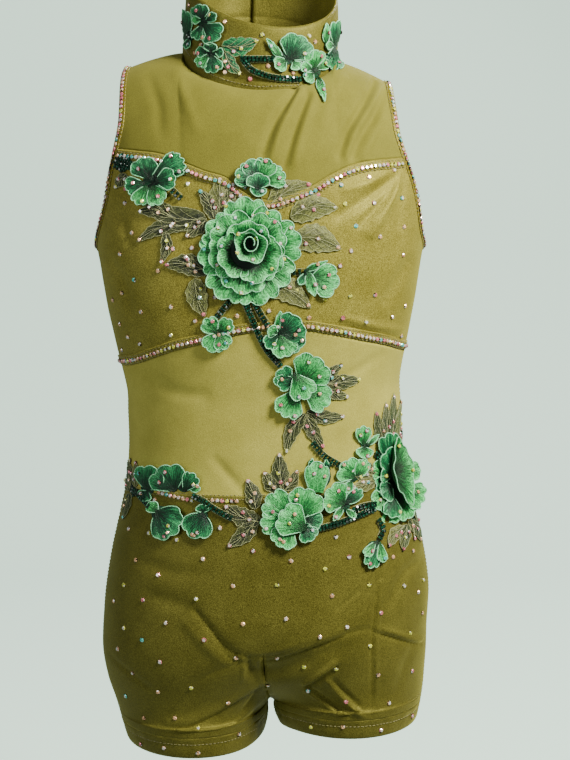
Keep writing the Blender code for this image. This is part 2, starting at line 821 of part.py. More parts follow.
def patch(name, place, around, shares, height, gap, colour, under=(1.0, 0.5), axis_from=AXIS_FROM):
    """A raised patch. place(share, turn) gives a point of the cloth and the normal there."""
    axis = soft_normal(place(0.0, 0.0)[0])

    def lifted(share, turn, rise):
        at, normal = place(share, turn)
        straight_up = max(rise - axis_from, 0.0)
        return at + normal * (gap + rise - straight_up) + axis * straight_up

    rings = [[lifted(0.0, 0.0, height(0.0, 0.0))]]
    turns = [2 * math.pi * m / around for m in range(around)]
    for share in shares:
        rings.append([lifted(share, turn, height(share, turn)) for turn in turns])
    for share in under:
        rings.append([lifted(share, turn, 0.0) for turn in turns])
    rings.append([lifted(0.0, 0.0, 0.0)])
    return polar_solid(name, rings, colour)


# How round a petal's tip is, then the crown and the heart of a flower as shares of its rise
PETAL_ROUND = 0.6
CROWN = 0.62
CROWN_BETWEEN = 0.55
HEART = 0.75
HEART_WIDTH = 0.28
LARGE_FLOWER = 14


def petal_edge(turn, lobes, notch, start):
    """The share of the radius that round petals reach at a turn."""
    wave = abs(math.cos((turn - start) * lobes / 2))
    return 1 - notch * (1 - wave ** PETAL_ROUND)


def flower(name, px, py, rx, ry, lobes, notch, start, layer, rise, colour, around):
    """A flower or bud read as an ellipse of petals."""
    start = math.radians(start)

    def place(share, turn):
        edge = petal_edge(turn, lobes, notch, start) * share
        at = seen(px + rx * edge * math.cos(turn), py - ry * edge * math.sin(turn))
        return at, soft_normal(at)

    def height(share, turn):
        petal = abs(math.cos((turn - start) * lobes / 2))
        crown = math.sin(math.pi * min(share, 1.0)) * (CROWN_BETWEEN + (1 - CROWN_BETWEEN) * petal)
        heart = math.exp(-((share / HEART_WIDTH) ** 2))
        return PETAL_CLOTH + rise * (CROWN * crown + HEART * heart)

    shares = (0.30, 0.62, 1.0) if around > LARGE_FLOWER else (0.45, 1.0)
    return patch(name, place, around, shares, height, LAYERS[layer], colour)


# ALONG the leaf, HALF its width there
LEAF_SHAPE = ((0.28, 0.28), (0.55, 0.50), (0.80, 0.36), (1.0, 0.03))
LEAF_RINGS = (0.22, 0.42, 0.62, 0.81, 1.0)
# A leaf takes up to these shares of the room beside it, at its base and at its tip
ROOM_AT_BASE = 0.9
ROOM_AT_TIP = 0.7
MOST_ROOM = 2.4
# The room between two leaves, in radians, from which the base is rounded off, and its outline there
WIDE_ROOM = 1.75
CORE_SHARES = (0.3, 0.5, 0.7)
CORE_WIDTH = 0.26


def spray_outline(px, py, tips):
    """The readings round a spray of pointed leaves. Each tip is PX, PY and a width."""
    tips = sorted(tips, key=lambda tip: math.atan2(tip[1] - py, tip[0] - px))
    turns = [math.atan2(ty - py, tx - px) for tx, ty, _ in tips]
    order = []
    for k, (tx, ty, width) in enumerate(tips):
        dx, dy = tx - px, ty - py
        length = math.hypot(dx, dy)
        ax, ay = -dy / length, dx / length
        before = (turns[k] - turns[k - 1]) % (2 * math.pi)
        after = (turns[(k + 1) % len(tips)] - turns[k]) % (2 * math.pi)
        sides = [(along, half, -1, before) for along, half in LEAF_SHAPE]
        sides += [(along, half, 1, after) for along, half in LEAF_SHAPE[2::-1]]
        for along, half, way, room in sides:
            share = ROOM_AT_BASE + (ROOM_AT_TIP - ROOM_AT_BASE) * along
            most = share * along * length * math.tan(min(room, MOST_ROOM) / 2)
            off = way * min(half * width, most)
            order.append((px + dx * along + ax * off, py + dy * along + ay * off))
        if after > WIDE_ROOM:
            core = CORE_WIDTH * width
            for share in CORE_SHARES:
                turn = turns[k] + after * share
                order.append((px + core * math.cos(turn), py + core * math.sin(turn)))
    return order


def spray(name, px, py, layer, tips):
    """A spray of lace leaves from one base."""
    order = spray_outline(px, py, tips)

    def place(share, turn):
        k = round(turn / (2 * math.pi) * len(order)) % len(order)
        x, y = order[k]
        at = seen(px + (x - px) * share, py + (y - py) * share)
        return at, soft_normal(at)

    def height(share, turn):
        return LEAF_CLOTH

    gap, under = LAYERS[layer], LEAF_RINGS[::-1]
    return patch(name, place, len(order), LEAF_RINGS, height, gap, LEAF_GREEN, under)


# SHARE, RISE in millimetres of the rose's rings of petals, from the middle out
ROSE_PROFILE = (
    (0.00, 8.0),
    (0.12, 9.0),
    (0.24, 14.0),
    (0.34, 13.0),
    (0.42, 8.0),
    (0.60, 10.0),
    (0.68, 9.0),
    (0.74, 5.0),
    (0.92, 6.5),
    (1.00, 5.0),
)
ROSE_UNDER = (0.97, 0.72, 0.36)
ROSE_LOBES = 7
ROSE_NOTCH = 0.10
ROSE_START = 0.3
ROSE_AROUND = 28
ROSE_RUFFLES = 5
ROSE_RUFFLE = 0.0006
ROSE_TWIST = 9
RUFFLE_FROM = 0.33


def rose(name, centre, across, upright, radius, squash, layer):
    """A standing rose. across and upright are its two axes along the cloth."""

    def place(share, turn):
        edge = petal_edge(turn, ROSE_LOBES, ROSE_NOTCH, ROSE_START) * share * radius
        target = centre + across * (edge * squash * math.cos(turn))
        target += upright * (edge * math.sin(turn))
        at = SKIN.find_nearest(target)[0]
        return at, soft_normal(at, ROSE_EVENED)

    def height(share, turn):
        rise = straight(ROSE_PROFILE, share) * 0.001
        wave = math.sin(ROSE_RUFFLES * turn + ROSE_TWIST * share) * ROSE_RUFFLE
        return rise + wave * min(share / RUFFLE_FROM, 1.0)

    shares, gap = [row[0] for row in ROSE_PROFILE[1:]], LAYERS[layer]
    return patch(
        name, place, ROSE_AROUND, shares, height, gap, ROSE_GREEN, ROSE_UNDER, ROSE_AXIS_FROM
    )


# DOWN the channel's width, OUT as a share of its cloth
TRIM_SECTION = ((0.0, 0.8), (0.5, 1.0), (1.0, 0.8), (1.0, 0.0), (0.0, 0.0))


def trim(name, seam, drop, colour):
    """A narrow channel sewn below a seam of the front, from side to side."""
    columns = both_sides(FRONT_COLUMNS)[1:-1]
    shares = [columns[0]]
    for here, there in zip(columns, columns[1:]):
        shares += [(here + there) / 2, there]
    sections = []
    for q in shares:
        section = []
        for down, out in TRIM_SECTION:
            z = table(seam, 1, q) - drop - TRIM_WIDTH * down
            x = q * half_width(-1, z)
            p = posed(Vector((x, level(x, -1, z), z)))
            at = SKIN.find_nearest(p)[0]
            section.append(at + soft_normal(at, TRIM_EVENED) * (RAISED + TRIM_CLOTH * out))
        sections.append(section)
    return loft(name, sections, colour, False)


STEM_SIDES = 6


def stem(name, readings, radius):
    """A beaded stem through readings of PX, PY and its lift in millimetres."""
    centres, normals = [], []
    for px, py, lift in readings:
        at = seen(px, py)
        normal = soft_normal(at)
        centres.append(at + normal * (lift * 0.001 + radius))
        normals.append(normal)
    sections = []
    for k, centre in enumerate(centres):
        along = centres[min(k + 1, len(centres) - 1)] - centres[max(k - 1, 0)]
        beside_it = along.normalized().cross(normals[k]).normalized()
        up = beside_it.cross(along.normalized())
        section = []
        for m in range(STEM_SIDES):
            turn = 2 * math.pi * m / STEM_SIDES
            section.append(centre + (beside_it * math.cos(turn) + up * math.sin(turn)) * radius)
        sections.append(section)
    return loft(name, sections, BEAD_GREEN, False, BEAD_ROUGH)


# NAME, PX, PY, RX, RY, LOBES, NOTCH, START, LAYER, RISE, AROUND
FLOWERS = (
    ("flower_chest", 156, 181, 29, 22, 5, 0.16, 90, 1, 0.0040, 20),
    ("bud_top", 259, 179, 25, 19, 4, 0.14, 45, 1, 0.0035, 20),
    ("bud_right", 320, 277, 17, 15, 3, 0.12, 60, 1, 0.0030, 14),
    ("bud_low", 217, 333, 16, 16, 3, 0.12, 90, 1, 0.0030, 14),
    ("bud_band", 288, 334, 18, 20, 3, 0.12, 270, 1, 0.0035, 14),
    ("flower_midriff", 301, 385, 28, 30, 5, 0.14, 250, 1, 0.0040, 20),
    ("flower_waist", 288, 517, 28, 29, 5, 0.14, 80, 1, 0.0045, 20),
    ("flower_waist_side", 339, 503, 16, 17, 4, 0.14, 40, 0, 0.0035, 14),
    ("bud_waist", 316, 476, 14, 15, 3, 0.12, 100, 0, 0.0035, 14),
    ("bud_small", 364, 437, 8, 13, 2, 0.10, 90, 0, 0.0025, 12),
    ("petal_waist", 359, 469, 11, 13, 3, 0.14, 100, 0, 0.0025, 12),
    ("bud_drop", 372, 551, 10, 12, 3, 0.12, 90, 0, 0.0030, 12),
    ("petal_left_a", 151, 482, 9, 14, 2, 0.12, 90, 0, 0.0025, 12),
    ("petal_left_b", 179, 481, 15, 14, 3, 0.12, 60, 0, 0.0030, 14),
    ("petal_left_c", 167, 519, 17, 15, 3, 0.12, 30, 0, 0.0030, 14),
    ("petal_left_d", 200, 525, 13, 15, 3, 0.12, 60, 0, 0.0030, 14),
    ("flower_collar_left", 210, 58, 10, 11, 3, 0.12, 90, 0, 0.0030, 12),
    ("bud_collar_left", 209, 26, 11, 14, 3, 0.12, 90, 0, 0.0030, 12),
    ("flower_collar_right", 316, 70, 12, 14, 4, 0.14, 60, 0, 0.0035, 14),
    ("petal_collar", 287, 52, 15, 16, 3, 0.12, 90, 0, 0.0030, 12),
    ("bud_collar_right", 332, 42, 8, 17, 2, 0.10, 90, 0, 0.0022, 12),
    ("bud_collar_side", 191, 27, 4.5, 17, 2, 0.10, 90, 0, 0.0020, 12),
    ("bud_chest_side", 119, 168, 7, 14, 2, 0.10, 90, 1, 0.0022, 12),
)

# NAME, PX, PY, LAYER, then the tips as PX, PY, WIDTH
SPRAYS = (
    (
        "leaves_chest_left", 222, 246, 0,
        ((140, 209, 24), (141, 240, 20), (164, 265, 24), (193, 306, 22)),
    ),
    ("leaves_chest_top", 214, 224, 0, ((198, 192, 14), (217, 197, 14))),
    (
        "leaves_chest_right", 272, 246, 0,
        ((310, 302, 26), (337, 250, 24), (336, 217, 22), (311, 200, 22)),
    ),
    ("leaves_midriff", 312, 388, 0, ((349, 400, 13), (359, 379, 12), (343, 364, 12))),
    ("leaves_below", 305, 408, 0, ((285, 451, 15), (321, 447, 15), (346, 419, 15))),
    (
        "leaves_waist", 272, 506, 0,
        ((229, 543, 15), (230, 509, 13), (246, 482, 13), (268, 460, 11), (281, 453, 11)),
    ),
    ("leaves_hip", 392, 452, 0, ((400, 405, 10), (391, 396, 11), (378, 412, 11))),
    ("leaves_drop", 392, 512, 0, ((389, 548, 12), (403, 546, 11))),
)

# NAME, RADIUS, then the readings as PX, PY and the lift off the cloth in millimetres
STEMS = (
    (
        "stem_rose", 0.0013,
        ((244, 306, 0.5), (249, 318, 3.2), (256, 331, 3.2), (262, 343, 1.8), (267, 352, 0.5)),
    ),
    ("stem_rose_right", 0.0013, ((254, 304, 0.5), (259, 311, 1.8), (263, 318, 3.2))),
    ("stem_bud_low", 0.0013, ((231, 303, 0.5), (226, 308, 0.5), (221, 314, 0.5))),
    ("stem_midriff", 0.0013, ((327, 455, 0.5), (334, 460, 0.5), (341, 465, 0.5))),
    ("stem_waist", 0.0013, ((321, 534, 0.5), (333, 531, 0.5), (345, 526, 0.5), (357, 521, 0.5))),
    ("stem_drop", 0.0013, ((377, 525, 0.5), (378, 531, 0.5), (376, 536, 0.5))),
    ("stem_left", 0.0013, ((137, 499, 0.5), (142, 504, 0.5), (147, 509, 0.5))),
    (
        "stem_left_right", 0.0013,
        ((198, 497, 0.5), (206, 502, 0.5), (214, 507, 0.5), (221, 512, 0.5)),
    ),
    (
        "stem_collar", 0.0012,
        ((249, 64, 0.4), (260, 71, 0.4), (272, 75, 0.4), (284, 77, 0.4), (294, 78, 0.4)),
    ),
)

# PX, PY, RADIUS and how far the rose is seen from the side
ROSE_CHEST = (248, 251, 0.0375, 1.0)
ROSE_HIP = (392, 480, 0.0325, 0.95)

# Shares of the height where the rows of the front and back panels run
FRONT_ROWS = (0.0, 0.25, 0.5, 0.75, 1.0)
BACK_ROWS = (0.0, 0.5, 1.0)
# COLUMNS, then rows above the legs and rows down to the crotch
SHORTS_FRONT = (13, 6, 7)
SHORTS_BACK = (11, 5, 6)
SWEETHEART_DROP = 0.0006
UNDERBUST_LIFT = 0.0010


def panels():
    front = bust_panel(-1, FRONT_COLUMNS, FRONT_ROWS, UNDERBUST, SWEETHEART, FRONT_CORNER)
    panel("bust_front", *quads(front, -1), OLIVE_SATIN, SATIN_ROUGH)
    back = bust_panel(1, BACK_COLUMNS, BACK_ROWS, BACK_UNDER, BACK_TOP, BACK_CORNER)
    panel("bust_back", *quads(back, 1), OLIVE_SATIN, SATIN_ROUGH)
    front = belt_panel(-1, FRONT_COLUMNS, FRONT_ROWS, WAIST, UNDERBUST)
    panel("midriff_front", *quads(front, -1), OLIVE_MESH, MESH_ROUGH)
    back = belt_panel(1, BACK_COLUMNS, FRONT_ROWS, BACK_WAIST, BACK_UNDER)
    panel("midriff_back", *quads(back, 1), OLIVE_MESH, MESH_ROUGH)
    front = yoke_panel(-1, FRONT_COLUMNS, SWEETHEART, FRONT_CORNER)
    panel("yoke_front", *quads(front, -1), OLIVE_MESH, MESH_ROUGH)
    for name, half in (("yoke_back_left", -1), ("yoke_back_right", 1)):
        back = yoke_panel(1, BACK_COLUMNS, BACK_TOP, BACK_CORNER, half)
        panel(name, *quads(back, 1), OLIVE_MESH, MESH_ROUGH)
    front = shorts_faces(-1, shorts_grid(-1, *SHORTS_FRONT))
    panel("shorts_front", *front, OLIVE_SATIN, SATIN_ROUGH)
    back = shorts_faces(1, shorts_grid(1, *SHORTS_BACK))
    panel("shorts_back", *back, OLIVE_SATIN, SATIN_ROUGH)


def trims():
    hem("hem_left", -1)
    hem("hem_right", 1)
    binding("armhole_left", -1)
    binding("armhole_right", 1)
    trim("sweetheart_trim", SWEETHEART, SWEETHEART_DROP, OLIVE_TRIM)
    trim("underbust_trim", UNDERBUST, -UNDERBUST_LIFT - TRIM_WIDTH, OLIVE_TRIM)


def roses():
    px, py, radius, squash = ROSE_CHEST
    at = seen(px, py)
    normal = soft_normal(at, ROSE_BASE_EVENED)
    across = Vector((1.0, 0.0, 0.0))
    upright = normal.cross(across).normalized()
    rose("rose_chest", at, across, upright, radius, squash, 1)
    px, py, radius, squash = ROSE_HIP
    at = seen(px, py)
    normal = soft_normal(at, ROSE_BASE_EVENED)
    across = Vector((0.0, 0.0, 1.0)).cross(normal).normalized()
    rose("rose_hip", at, across, normal.cross(across).normalized(), radius, squash, 1)


def build():
    global COLLECTION, SKIN
    for obj in list(bpy.data.objects):
        bpy.data.objects.remove(obj, do_unlink=True)
    COLLECTION = bpy.data.collections.new(NAME)
    bpy.context.scene.collection.children.link(COLLECTION)

    panels()
    band = collar()
    start = len(SKIN_POINTS)
    SKIN_POINTS.extend(v.co.copy() for v in band.data.vertices)
    SKIN_FACES.extend(tuple(k + start for k in f.vertices) for f in band.data.polygons)
    SKIN = BVHTree.FromPolygons(SKIN_POINTS, SKIN_FACES)
    trims()

    for name, px, py, rx, ry, lobes, notch, start, layer, rise, around in FLOWERS:
        flower(name, px, py, rx, ry, lobes, notch, start, layer, rise, FLOWER_GREEN, around)
    for name, px, py, layer, tips in SPRAYS:
        spray(name, px, py, layer, tips)
    roses()
    for name, radius, readings in STEMS:
        stem(name, readings, radius)


SKIN = None
build()
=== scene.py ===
"""Looks of the short dance unitard: its cloth, applique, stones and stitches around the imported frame.

Sizes are in metres. X runs to the viewer's right, -Y is the front and Z is up from the shoulder seams.
"""

import math

import bpy
import numpy as np
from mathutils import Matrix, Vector
from mathutils.bvhtree import BVHTree


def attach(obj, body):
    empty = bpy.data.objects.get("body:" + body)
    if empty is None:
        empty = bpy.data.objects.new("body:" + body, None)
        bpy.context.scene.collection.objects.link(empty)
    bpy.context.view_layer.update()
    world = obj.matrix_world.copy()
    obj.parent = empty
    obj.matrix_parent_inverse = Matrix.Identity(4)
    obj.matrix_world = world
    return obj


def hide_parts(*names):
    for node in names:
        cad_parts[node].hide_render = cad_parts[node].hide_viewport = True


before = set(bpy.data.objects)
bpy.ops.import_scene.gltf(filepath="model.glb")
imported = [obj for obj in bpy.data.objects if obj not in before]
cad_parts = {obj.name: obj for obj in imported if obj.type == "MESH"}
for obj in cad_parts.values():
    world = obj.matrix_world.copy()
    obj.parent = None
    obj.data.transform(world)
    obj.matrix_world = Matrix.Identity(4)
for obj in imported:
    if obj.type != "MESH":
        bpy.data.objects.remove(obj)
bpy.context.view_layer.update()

CLOTH = 0.0012
BAND_CLOTH = 0.0022
STRETCH = 1.10
TUCK = 0.0014
BINDING_WIDTH = 0.0062
TRIM_WIDTH = 0.0070
ARMPIT_Z = -0.124
BLEND_Z = -0.395
CROTCH_Z = -0.482
HEM_TOP_Z = -0.489
HEM_Z = -0.505
SHOULDER_TIP = 0.1015
NECK_HALF_WIDTH = 0.0565
NECK_HALF_DEPTH = 0.0505
NECK_SIDE_Z = 0.0155
NECK_TILT = 0.52
NECK_SHARE = 0.62
SHOULDER_ARCH = 1.4
COLLAR_BASE = 0.0016
COLLAR_TOP_Z = 0.0680
COLLAR_TOP_TILT = 0.66
COLLAR_TOP_ROLL = -0.12
COLLAR_TAPER = 0.0015
COLLAR_LIFT = 0.0006
BACK_LAP = 8.0
LEG_MIDDLE = 0.0585
LEG_TURN = 0.014

# The viewer's eye, and the reading scale of the PX and PY columns below.
EYE = np.array((0.0162, -1.25, -0.064))
EYE_TILT = math.radians(7.6)
EYE_FOCAL = 1625.0
EYE_CENTRE = (285.0, 380.0)
VIEW_HEIGHT = 760.0

# Z, HALF_WIDTH, FRONT, BACK, SQUARE
BODY = (
    (-0.520, 0.1118, 0.066, 0.072, 2.15), (-0.505, 0.1152, 0.070, 0.078, 2.15),
    (-0.488, 0.1194, 0.076, 0.086, 2.15), (-0.471, 0.1226, 0.081, 0.093, 2.20),
    (-0.455, 0.1254, 0.085, 0.097, 2.25), (-0.438, 0.1272, 0.087, 0.098, 2.30),
    (-0.414, 0.1278, 0.087, 0.098, 2.30), (-0.390, 0.1266, 0.086, 0.096, 2.30),
    (-0.358, 0.1212, 0.084, 0.090, 2.30), (-0.326, 0.1134, 0.081, 0.083, 2.30),
    (-0.304, 0.1085, 0.079, 0.079, 2.30), (-0.278, 0.1058, 0.078, 0.077, 2.30),
    (-0.250, 0.1054, 0.078, 0.077, 2.30), (-0.231, 0.1054, 0.079, 0.078, 2.30),
    (-0.200, 0.1116, 0.083, 0.080, 2.35), (-0.169, 0.1177, 0.086, 0.082, 2.40),
    (-0.140, 0.1221, 0.086, 0.084, 2.45), (-0.124, 0.1245, 0.085, 0.085, 2.45),
    (-0.100, 0.1245, 0.083, 0.085, 2.45),
)

# Z, HALF_WIDTH at the outer edge of the armhole binding
ARMHOLE = (
    (-0.1240, 0.1245), (-0.1150, 0.1222), (-0.1064, 0.1200), (-0.0913, 0.1168), (-0.0765, 0.1138),
    (-0.0630, 0.1110), (-0.0540, 0.1075), (-0.0450, 0.1050), (-0.0320, 0.1033), (-0.0170, 0.1025),
    (0.0000, 0.1015),
)

# Z, TILT of the pose to one side, DRIFT sideways, LEGS share of the tilt taken by whole legs
POSE = (
    (-0.510, 0.135, 0.0062, 1.0), (-0.480, 0.110, 0.0045, 0.9), (-0.455, 0.088, 0.0018, 0.5),
    (-0.430, 0.070, 0.0002, 0.1), (-0.400, 0.058, 0.0016, 0.0), (-0.310, 0.030, 0.0015, 0.0),
    (-0.210, 0.042, -0.0010, 0.0), (-0.120, 0.000, -0.0026, 0.0), (-0.090, -0.012, -0.0008, 0.0),
    (-0.060, -0.025, -0.0018, 0.0), (-0.030, -0.040, -0.0032, 0.0), (0.000, -0.055, -0.0045, 0.0),
    (0.030, -0.050, -0.0018, 0.0), (0.120, -0.050, 0.0002, 0.0),
)

# X share of the width, Z on the sweetheart seam
SWEETHEART = (
    (-1.00, -0.0563), (-0.87, -0.0572), (-0.68, -0.0591), (-0.52, -0.0644), (-0.37, -0.0700),
    (-0.22, -0.0748), (-0.10, -0.0850), (0.00, -0.0893), (0.10, -0.0890), (0.25, -0.0826), (0.34, -0.0785),
    (0.47, -0.0703), (0.63, -0.0630), (0.78, -0.0597), (0.93, -0.0578), (1.00, -0.0568),
)

# X share of the width, Z on the underbust seam
UNDERBUST = (
    (-1.00, -0.2125), (-0.83, -0.2078), (-0.68, -0.2020), (-0.55, -0.1972), (-0.40, -0.1934),
    (-0.25, -0.1892), (-0.08, -0.1858), (0.10, -0.1845), (0.29, -0.1855), (0.45, -0.1893), (0.65, -0.1957),
    (0.82, -0.2015), (1.00, -0.2105),
)

# X share of the width, Z on the other seams
BACK_TOP = ((-1.0, -0.0800), (-0.5, -0.0880), (0.0, -0.0920), (0.5, -0.0880), (1.0, -0.0800))
BACK_UNDER = ((-1.0, -0.2125), (-0.5, -0.2085), (0.0, -0.2075), (0.5, -0.2080), (1.0, -0.2105))
WAIST = ((-1.0, -0.3050), (-0.5, -0.3065), (0.0, -0.3075), (0.5, -0.3065), (1.0, -0.3050))
BACK_WAIST = ((-1.0, -0.3050), (-0.5, -0.3040), (0.0, -0.3035), (0.5, -0.3040), (1.0, -0.3050))

# Z, FRONT, BACK half depths of the leg tubes
THIGH = (
    (-0.505, 0.0640, 0.0710), (-0.482, 0.0680, 0.0780), (-0.440, 0.0760, 0.0880), (-0.395, 0.0830, 0.0940),
)

# Z, GAP from the middle to the inside of each leg
LEG_GAP = ((-0.505, 0.0050), (-0.494, 0.0030), (-0.482, 0.0016))

# Heights of the stations round the armhole, from the armpit to the shoulder tip
FRONT_STATIONS = (
    -0.124, -0.1225, -0.118, -0.108, -0.092, -0.074,
    -0.0565, -0.040, -0.026, -0.013, -0.004, 0.0,
)
BACK_STATIONS = (
    -0.124, -0.1225, -0.118, -0.108, -0.094, -0.080,
    -0.062, -0.043, -0.027, -0.013, -0.004, 0.0,
)
FRONT_CORNER_Z = -0.0565
BACK_CORNER_Z = -0.080
STATIONS = len(FRONT_STATIONS)


def table(rows, column, at):
    """Smooth values from a short table whose first column rises."""
    values = np.array(rows, float)
    keys, y = values[:, 0], values[:, column]
    at = np.clip(at, keys[0], keys[-1])
    i = np.clip(np.searchsorted(keys, at, side="right") - 1, 0, len(keys) - 2)
    before, after = np.maximum(i - 1, 0), np.minimum(i + 2, len(keys) - 1)
    h = keys[i + 1] - keys[i]
    m0 = (y[i + 1] - y[before]) / (keys[i + 1] - keys[before])
    m1 = (y[after] - y[i]) / (keys[after] - keys[i])
    t = (at - keys[i]) / h
    a = (1 + 2 * t) * (1 - t) ** 2 * y[i] + t * (1 - t) ** 2 * h * m0
    return a + t * t * (3 - 2 * t) * y[i + 1] + t * t * (t - 1) * h * m1


def posed(p):
    """Points of the straight figure moved into the worn pose, one leg higher than the other."""
    p = np.asarray(p, float)
    x, z = p[..., 0], p[..., 2]
    reach = x + table(POSE, 3, z) * (LEG_MIDDLE * np.tanh(x / LEG_TURN) - x)
    return np.stack((x + table(POSE, 2, z), p[..., 1], z + reach * table(POSE, 1, z)), -1)


def column_top(x, side):
    """Where the cloth ends at the top of a column: the neck seam or the shoulder seam."""
    x = np.abs(x)
    neck_y = side * NECK_HALF_DEPTH * np.sqrt(np.maximum(1 - (x / NECK_HALF_WIDTH) ** 2, 0))
    share = np.maximum(x - NECK_HALF_WIDTH, 0) / (SHOULDER_TIP - NECK_HALF_WIDTH)
    on_neck = x < NECK_HALF_WIDTH
    y = np.where(on_neck, neck_y, 0.0)
    z = np.where(on_neck, NECK_SIDE_Z + NECK_TILT * neck_y, NECK_SIDE_Z * (1 - share ** SHOULDER_ARCH))
    return y, z


def torso_depth(x, side, z):
    a, n = table(BODY, 1, z), table(BODY, 4, z)
    deep = table(BODY, 2 if side < 0 else 3, z)
    return side * deep * np.maximum(1 - (np.abs(x) / a) ** n, 0) ** (1 / n)


def level(x, side, z):
    """The depth y of the straight figure at x and z, on the front or the back."""
    x, z = np.broadcast_arrays(np.asarray(x, float), np.asarray(z, float))
    y = torso_depth(x, side, np.minimum(z, ARMPIT_Z))
    top_y, top_z = column_top(x, side)
    t = np.clip((z - ARMPIT_Z) / (top_z - ARMPIT_Z), 0.0, 1.0)
    return np.where(z <= ARMPIT_Z, y, top_y + (y - top_y) * np.sqrt(1 - t * t))


def form_points(x, side, z):
    """Points of the straight form at x and z."""
    return np.stack((x, level(x, side, z), z), -1)


def arc(x, side, phi):
    """Points of the shoulder form: phi is 0 at the armpit level and 90 degrees at the top."""
    y = torso_depth(x, side, np.full_like(x, ARMPIT_Z))
    top_y, top_z = column_top(x, side)
    z = ARMPIT_Z + (top_z - ARMPIT_Z) * np.sin(phi)
    return np.stack((x, top_y + (y - top_y) * np.cos(phi), z), -1)


def spread(s, n=2.3):
    """An even share of the way round, turned into a share of the half width."""
    return np.copysign(np.abs(np.sin(s * np.pi / 2)) ** (2 / n), s)


def grid_faces(rows, cols, closed=False, turned=False):
    """The quads of a grid of points stored row by row."""
    j, i = np.meshgrid(np.arange(rows - 1), np.arange(cols if closed else cols - 1), indexing="ij")
    n = (i + 1) % cols
    faces = np.stack((j * cols + i, j * cols + n, (j + 1) * cols + n, (j + 1) * cols + i), -1)
    faces = faces.reshape(-1, 4)
    return faces[:, ::-1] if turned else faces


def form_tree(side):
    """One side of the whole straight form, armholes not cut, for seams to lie on."""
    share = spread(np.linspace(-1, 1, 121))[None, :]
    z = np.linspace(BODY[0][0], ARMPIT_Z, 70)[:-1, None]
    x = share * table(BODY, 1, z)
    low = form_points(x, side, np.broadcast_to(z, x.shape))
    phi = np.linspace(0, np.pi / 2, 60)[:, None]
    x = np.broadcast_to(share * table(BODY, 1, ARMPIT_Z), (60, 121)).copy()
    high = arc(x, side, np.broadcast_to(phi, x.shape))
    grid = np.concatenate((low, high))
    faces = grid_faces(*grid.shape[:2], turned=side > 0)
    return BVHTree.FromPolygons(grid.reshape(-1, 3).tolist(), faces.tolist())


FORMS = {side: form_tree(side) for side in (-1, 1)}


def on_form(p, side):
    """The nearest point of the straight form and its outward normal."""
    hit = FORMS[side].find_nearest(Vector(p))
    return np.array(hit[0]), np.array(hit[1])


def eased(t):
    """A share that leaves 0 and reaches 1 softly."""
    return t * t * (3 - 2 * t)


def unit(v):
    return v / np.maximum(np.linalg.norm(v, axis=-1, keepdims=True), 1e-12)


def armhole_loop():
    """The outer edge of the armhole on the +X side, up the front and down the back."""
    loop = []
    for side, heights in ((-1, FRONT_STATIONS), (1, BACK_STATIONS[-2:0:-1])):
        for z in heights:
            x = float(table(ARMHOLE, 1, z))
            y = 0.0 if z in (FRONT_STATIONS[0], FRONT_STATIONS[-1]) else float(level(x, side, z))
            loop.append((x, y, z))
    return np.array(loop)


def beside(loop, width):
    """Each point of the armhole moved by width over the form, away from the hole."""
    moved = []
    for i, p in enumerate(loop):
        if i == 0:
            z = ARMPIT_Z - width
            moved.append((float(table(BODY, 1, z)), 0.0, z))
            continue
        if i == STATIONS - 1:
            x = np.array(SHOULDER_TIP - width)
            moved.append((float(x), 0.0, float(column_top(x, -1)[1])))
            continue
        side = -1 if i < STATIONS else 1
        along = unit(loop[(i + 1) % len(loop)] - loop[i - 1])
        out = unit(np.cross(along, on_form(p, side)[1]))
        if out @ (p - np.array((p[0], 0.0, -0.06))) < 0:
            out = -out
        moved.append(tuple(on_form(p + out * width, side)[0]))
    return np.array(moved)


def smooth_loop(points, steps, closed=True):
    """A finer run of points through these, rounded between them."""
    count = len(points)
    t = np.arange(0, 1, 1 / steps)[:, None]
    out = []
    for i in range(count if closed else count - 1):
        if closed:
            a, b, c, d = (points[(i + k) % count] for k in (-1, 0, 1, 2))
        else:
            a, b, c, d = (points[min(max(i + k, 0), count - 1)] for k in (-1, 0, 1, 2))
        step = np.linalg.norm(c - b)
        m0 = (c - a) / max(np.linalg.norm(c - b) + np.linalg.norm(b - a), 1e-9) * step
        m1 = (d - b) / max(np.linalg.norm(d - c) + np.linalg.norm(c - b), 1e-9) * step
        run = (1 + 2 * t) * (1 - t) ** 2 * b + t * (1 - t) ** 2 * m0
        out.append(run + t * t * (3 - 2 * t) * c + t * t * (t - 1) * m1)
    if not closed:
        out.append(points[-1:])
    return np.concatenate(out)


EDGE_STEPS = 8
HOLE = armhole_loop()
HOLE_INNER = smooth_loop(beside(HOLE, BINDING_WIDTH - TUCK), EDGE_STEPS)
TOP_STATION = (STATIONS - 1) * EDGE_STEPS
EDGES = {
    -1: HOLE_INNER[: TOP_STATION + 1],
    1: np.concatenate((HOLE_INNER[:1], HOLE_INNER[: TOP_STATION - 1 : -1])),
}


def half_width(side, z):
    """Half the panel width: to the side seam below the armhole, to its binding above."""
    edge = EDGES[side]
    return np.where(z <= edge[0, 2], table(BODY, 1, z), np.interp(z, edge[:, 2], edge[:, 0]))


